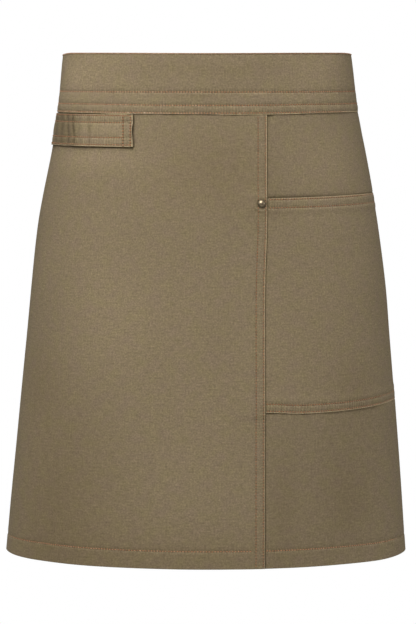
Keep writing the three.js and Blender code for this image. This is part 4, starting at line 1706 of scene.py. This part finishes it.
def thread(name):
    """Rust sewing thread with its two plies twisted, paler and less red where its tone is high by wear and
    painted light, darker at its ends by painted shade.
    """
    found = bpy.data.materials.get(name)
    if found:
        return found
    material, tree, shader = node_material(name)
    place = add_node(tree, "ShaderNodeTexCoord").outputs["Object"]
    along_stitch = mark(tree, "ply")
    twist = math_node(tree, "SINE", product(tree, along_stitch, THREAD_TWIST))
    from_middle = math_node(tree, "MULTIPLY_ADD", along_stitch, 2.0, -1.0)
    # Painted shade darkens each stitch towards its ends, where it sinks into the cloth
    sunk = math_node(tree, "MULTIPLY_ADD", product(tree, from_middle, from_middle), -1.35, 1.38)
    strands = math_node(tree, "MULTIPLY_ADD", twist, 0.1, 1.0)
    fuzz = around_one(tree, noise(tree, place, 900.0), 0.3)
    tone = mark(tree, "tone")
    level = product(tree, tone, sunk, strands, fuzz)
    pale_by_wear_and_light = math_node(tree, "MULTIPLY_ADD", tone, 1.5, -1.45)
    rust = paint(bpy.context.scene.apron_colours.thread)
    hue = mix_colours(tree, pale_by_wear_and_light, rust, paint(PALE_THREAD))
    set_inputs(tree, shader, {
        "Base Color": vector_math(tree, "SCALE", {0: hue, "Scale": level}),
        "Roughness": 0.62,
        "Normal": bump(tree, twist, 0.5, 0.08 * MM),
        "Sheen Weight": 0.15,
    })
    return material


# How dark the brass is where nothing has rubbed it
PATINA = 0.25


def brass(name):
    """Antique brass, dark round its rim and worn bright on its dome, with a painted highlight on its upper
    left side.
    """
    colour = bpy.context.scene.apron_colours.brass
    material, tree, shader = node_material(name)
    place = add_node(tree, "ShaderNodeTexCoord").outputs["Object"]
    stain = noise(tree, place, 900.0, detail=4.0)
    bright = product(tree, mark(tree, "tone"), total(tree, stain, 0.45))
    set_inputs(tree, shader, {
        "Base Color": mix_colours(tree, bright, paint(colour, PATINA), paint(colour)),
        "Roughness": map_range(tree, bright, 0.0, 1.0, 0.6, 0.4),
        "Metallic": 1.0,
    })
    return material


# Studio

# Camera: metres below the band's top, its tilt, and its focal length in pixels of the photo
CAMERA_BELOW_TOP = 0.004
CAMERA_PITCH = math.radians(4.399)
PHOTO_HEIGHT = 624
PHOTO_FOCUS = 3325.0
SENSOR = 36.0

# Floor: metres below the origin, and its radius
FLOOR_DROP = 1.35
FLOOR_RADIUS = 3.4

# Soft lights: azimuth from the front and elevation in degrees, size in metres and power in watts
LIGHT_REACH = 3.6
LIGHT_AIM = Vector((0, 0, -0.22))
LIGHTS = table(
    "name azimuth elevation size power",
    ("key", -20, 48, 1.4, 74.0),
    ("left", -70, 35, 1.4, 19.5),
    ("top", 0, 62, 1.4, 73.0),
    ("right", 88, 10, 1.4, 33.0),
    ("behind", 180, 20, 1.6, 80.0),
)
AMBIENT = 0.1


class APRON_OT_studio(bpy.types.Operator):
    """Makes the pale floor, the soft lights and the camera"""

    bl_idname = "apron.studio"
    bl_label = "Studio"

    def execute(self, context):
        self.floor(context)
        for light in LIGHTS:
            self.light(context, light)
        self.surroundings(context)
        self.camera(context)
        return {"FINISHED"}

    def floor(self, context):
        bpy.ops.object.select_all(action="DESELECT")
        bpy.ops.mesh.primitive_circle_add(vertices=96, radius=FLOOR_RADIUS, fill_type="NGON")
        piece = context.object
        piece.name = "studio_floor"
        piece.location = (0, 0, -FLOOR_DROP)
        bpy.ops.object.transform_apply(location=True)
        material, tree, shader = node_material("studio_floor")
        place = add_node(tree, "ShaderNodeTexCoord").outputs["Object"]
        flat = vector_math(tree, "MULTIPLY", {0: place, 1: (1, 1, 0)})
        reach = vector_math(tree, "LENGTH", {0: flat}, "Value")
        fade_start, fade_end = 0.9, FLOOR_RADIUS - 0.1
        set_inputs(tree, shader, {
            "Base Color": paint(context.scene.apron_colours.floor),
            "Roughness": 0.9,
            "Alpha": map_range(
                tree, reach, fade_start, fade_end, 1.0, 0.0, interpolation_type="SMOOTHSTEP"),
        })
        piece.data.materials.append(material)
        piece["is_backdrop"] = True

    def light(self, context, sizes):
        lamp = bpy.data.lights.new(sizes["name"], "AREA")
        lamp.shape = "DISK"
        lamp.size = sizes["size"]
        lamp.energy = sizes["power"]
        piece = bpy.data.objects.new(sizes["name"], lamp)
        azimuth, elevation = math.radians(sizes["azimuth"]), math.radians(sizes["elevation"])
        level = math.cos(elevation)
        way = Vector((math.sin(azimuth) * level, -math.cos(azimuth) * level, math.sin(elevation)))
        piece.location = LIGHT_AIM + LIGHT_REACH * way
        piece.rotation_euler = (-way).to_track_quat("-Z", "Y").to_euler()
        context.scene.collection.objects.link(piece)

    def surroundings(self, context):
        world = bpy.data.worlds.new("studio")
        world.use_nodes = True
        tree = world.node_tree
        tree.nodes.clear()
        white = (1, 1, 1, 1)
        seen = add_node(tree, "ShaderNodeBackground", {"Color": white, "Strength": 1.0})
        soft = add_node(tree, "ShaderNodeBackground", {"Color": white, "Strength": AMBIENT})
        path = add_node(tree, "ShaderNodeLightPath")
        mix = add_node(tree, "ShaderNodeMixShader", {
            "Fac": path.outputs["Is Camera Ray"],
            1: soft.outputs["Background"],
            2: seen.outputs["Background"],
        })
        add_node(tree, "ShaderNodeOutputWorld", {"Surface": mix.outputs["Shader"]})
        context.scene.world = world
        context.scene.view_settings.view_transform = "Standard"
        context.scene.view_settings.look = "None"

    def camera(self, context):
        lens = bpy.data.cameras.new("camera")
        lens.sensor_width = SENSOR
        lens.lens = PHOTO_FOCUS / PHOTO_HEIGHT * SENSOR
        lens.clip_end = 100
        piece = bpy.data.objects.new("camera", lens)
        piece.location = (0, -context.scene.apron_sizes.camera_distance, WAIST_LEVEL * MM - CAMERA_BELOW_TOP)
        piece.rotation_euler = (math.pi / 2 - CAMERA_PITCH, 0, 0)
        context.scene.collection.objects.link(piece)
        context.scene.camera = piece


class APRON_PT_panel(bpy.types.Panel):
    """Shows the apron's sizes, colours and pieces in the sidebar"""

    bl_idname = "APRON_PT_panel"
    bl_label = "Waist Apron"
    bl_space_type = "VIEW_3D"
    bl_region_type = "UI"
    bl_category = "Apron"

    def draw(self, context):
        for group in (context.scene.apron_sizes, context.scene.apron_colours):
            box = self.layout.box()
            for name in group.__annotations__:
                box.prop(group, name)
        for operator in OPERATORS:
            self.layout.operator(operator.bl_idname)


OPERATORS = (
    APRON_OT_waistband,
    APRON_OT_front_panel,
    APRON_OT_side_panel,
    APRON_OT_pocket,
    APRON_OT_side_loop,
    APRON_OT_back_strap,
    APRON_OT_rivet,
    APRON_OT_stitches,
    APRON_OT_studio,
)
CLASSES = (ApronSizes, ApronColours, *OPERATORS, APRON_PT_panel)


def register():
    for each in CLASSES:
        bpy.utils.register_class(each)
    bpy.types.Scene.apron_sizes = PointerProperty(type=ApronSizes)
    bpy.types.Scene.apron_colours = PointerProperty(type=ApronColours)


def unregister():
    del bpy.types.Scene.apron_colours
    del bpy.types.Scene.apron_sizes
    for each in reversed(CLASSES):
        bpy.utils.unregister_class(each)


def main():
    register()
    for operator in OPERATORS:
        group, name = operator.bl_idname.split(".")
        getattr(getattr(bpy.ops, group), name)()
    boxes = {"cad": CAD_BOX, "visual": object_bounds()}
    {key: [list(map(float, corner)) for corner in box] for key, box in boxes.items()}


if __name__ == "__main__":
    main()
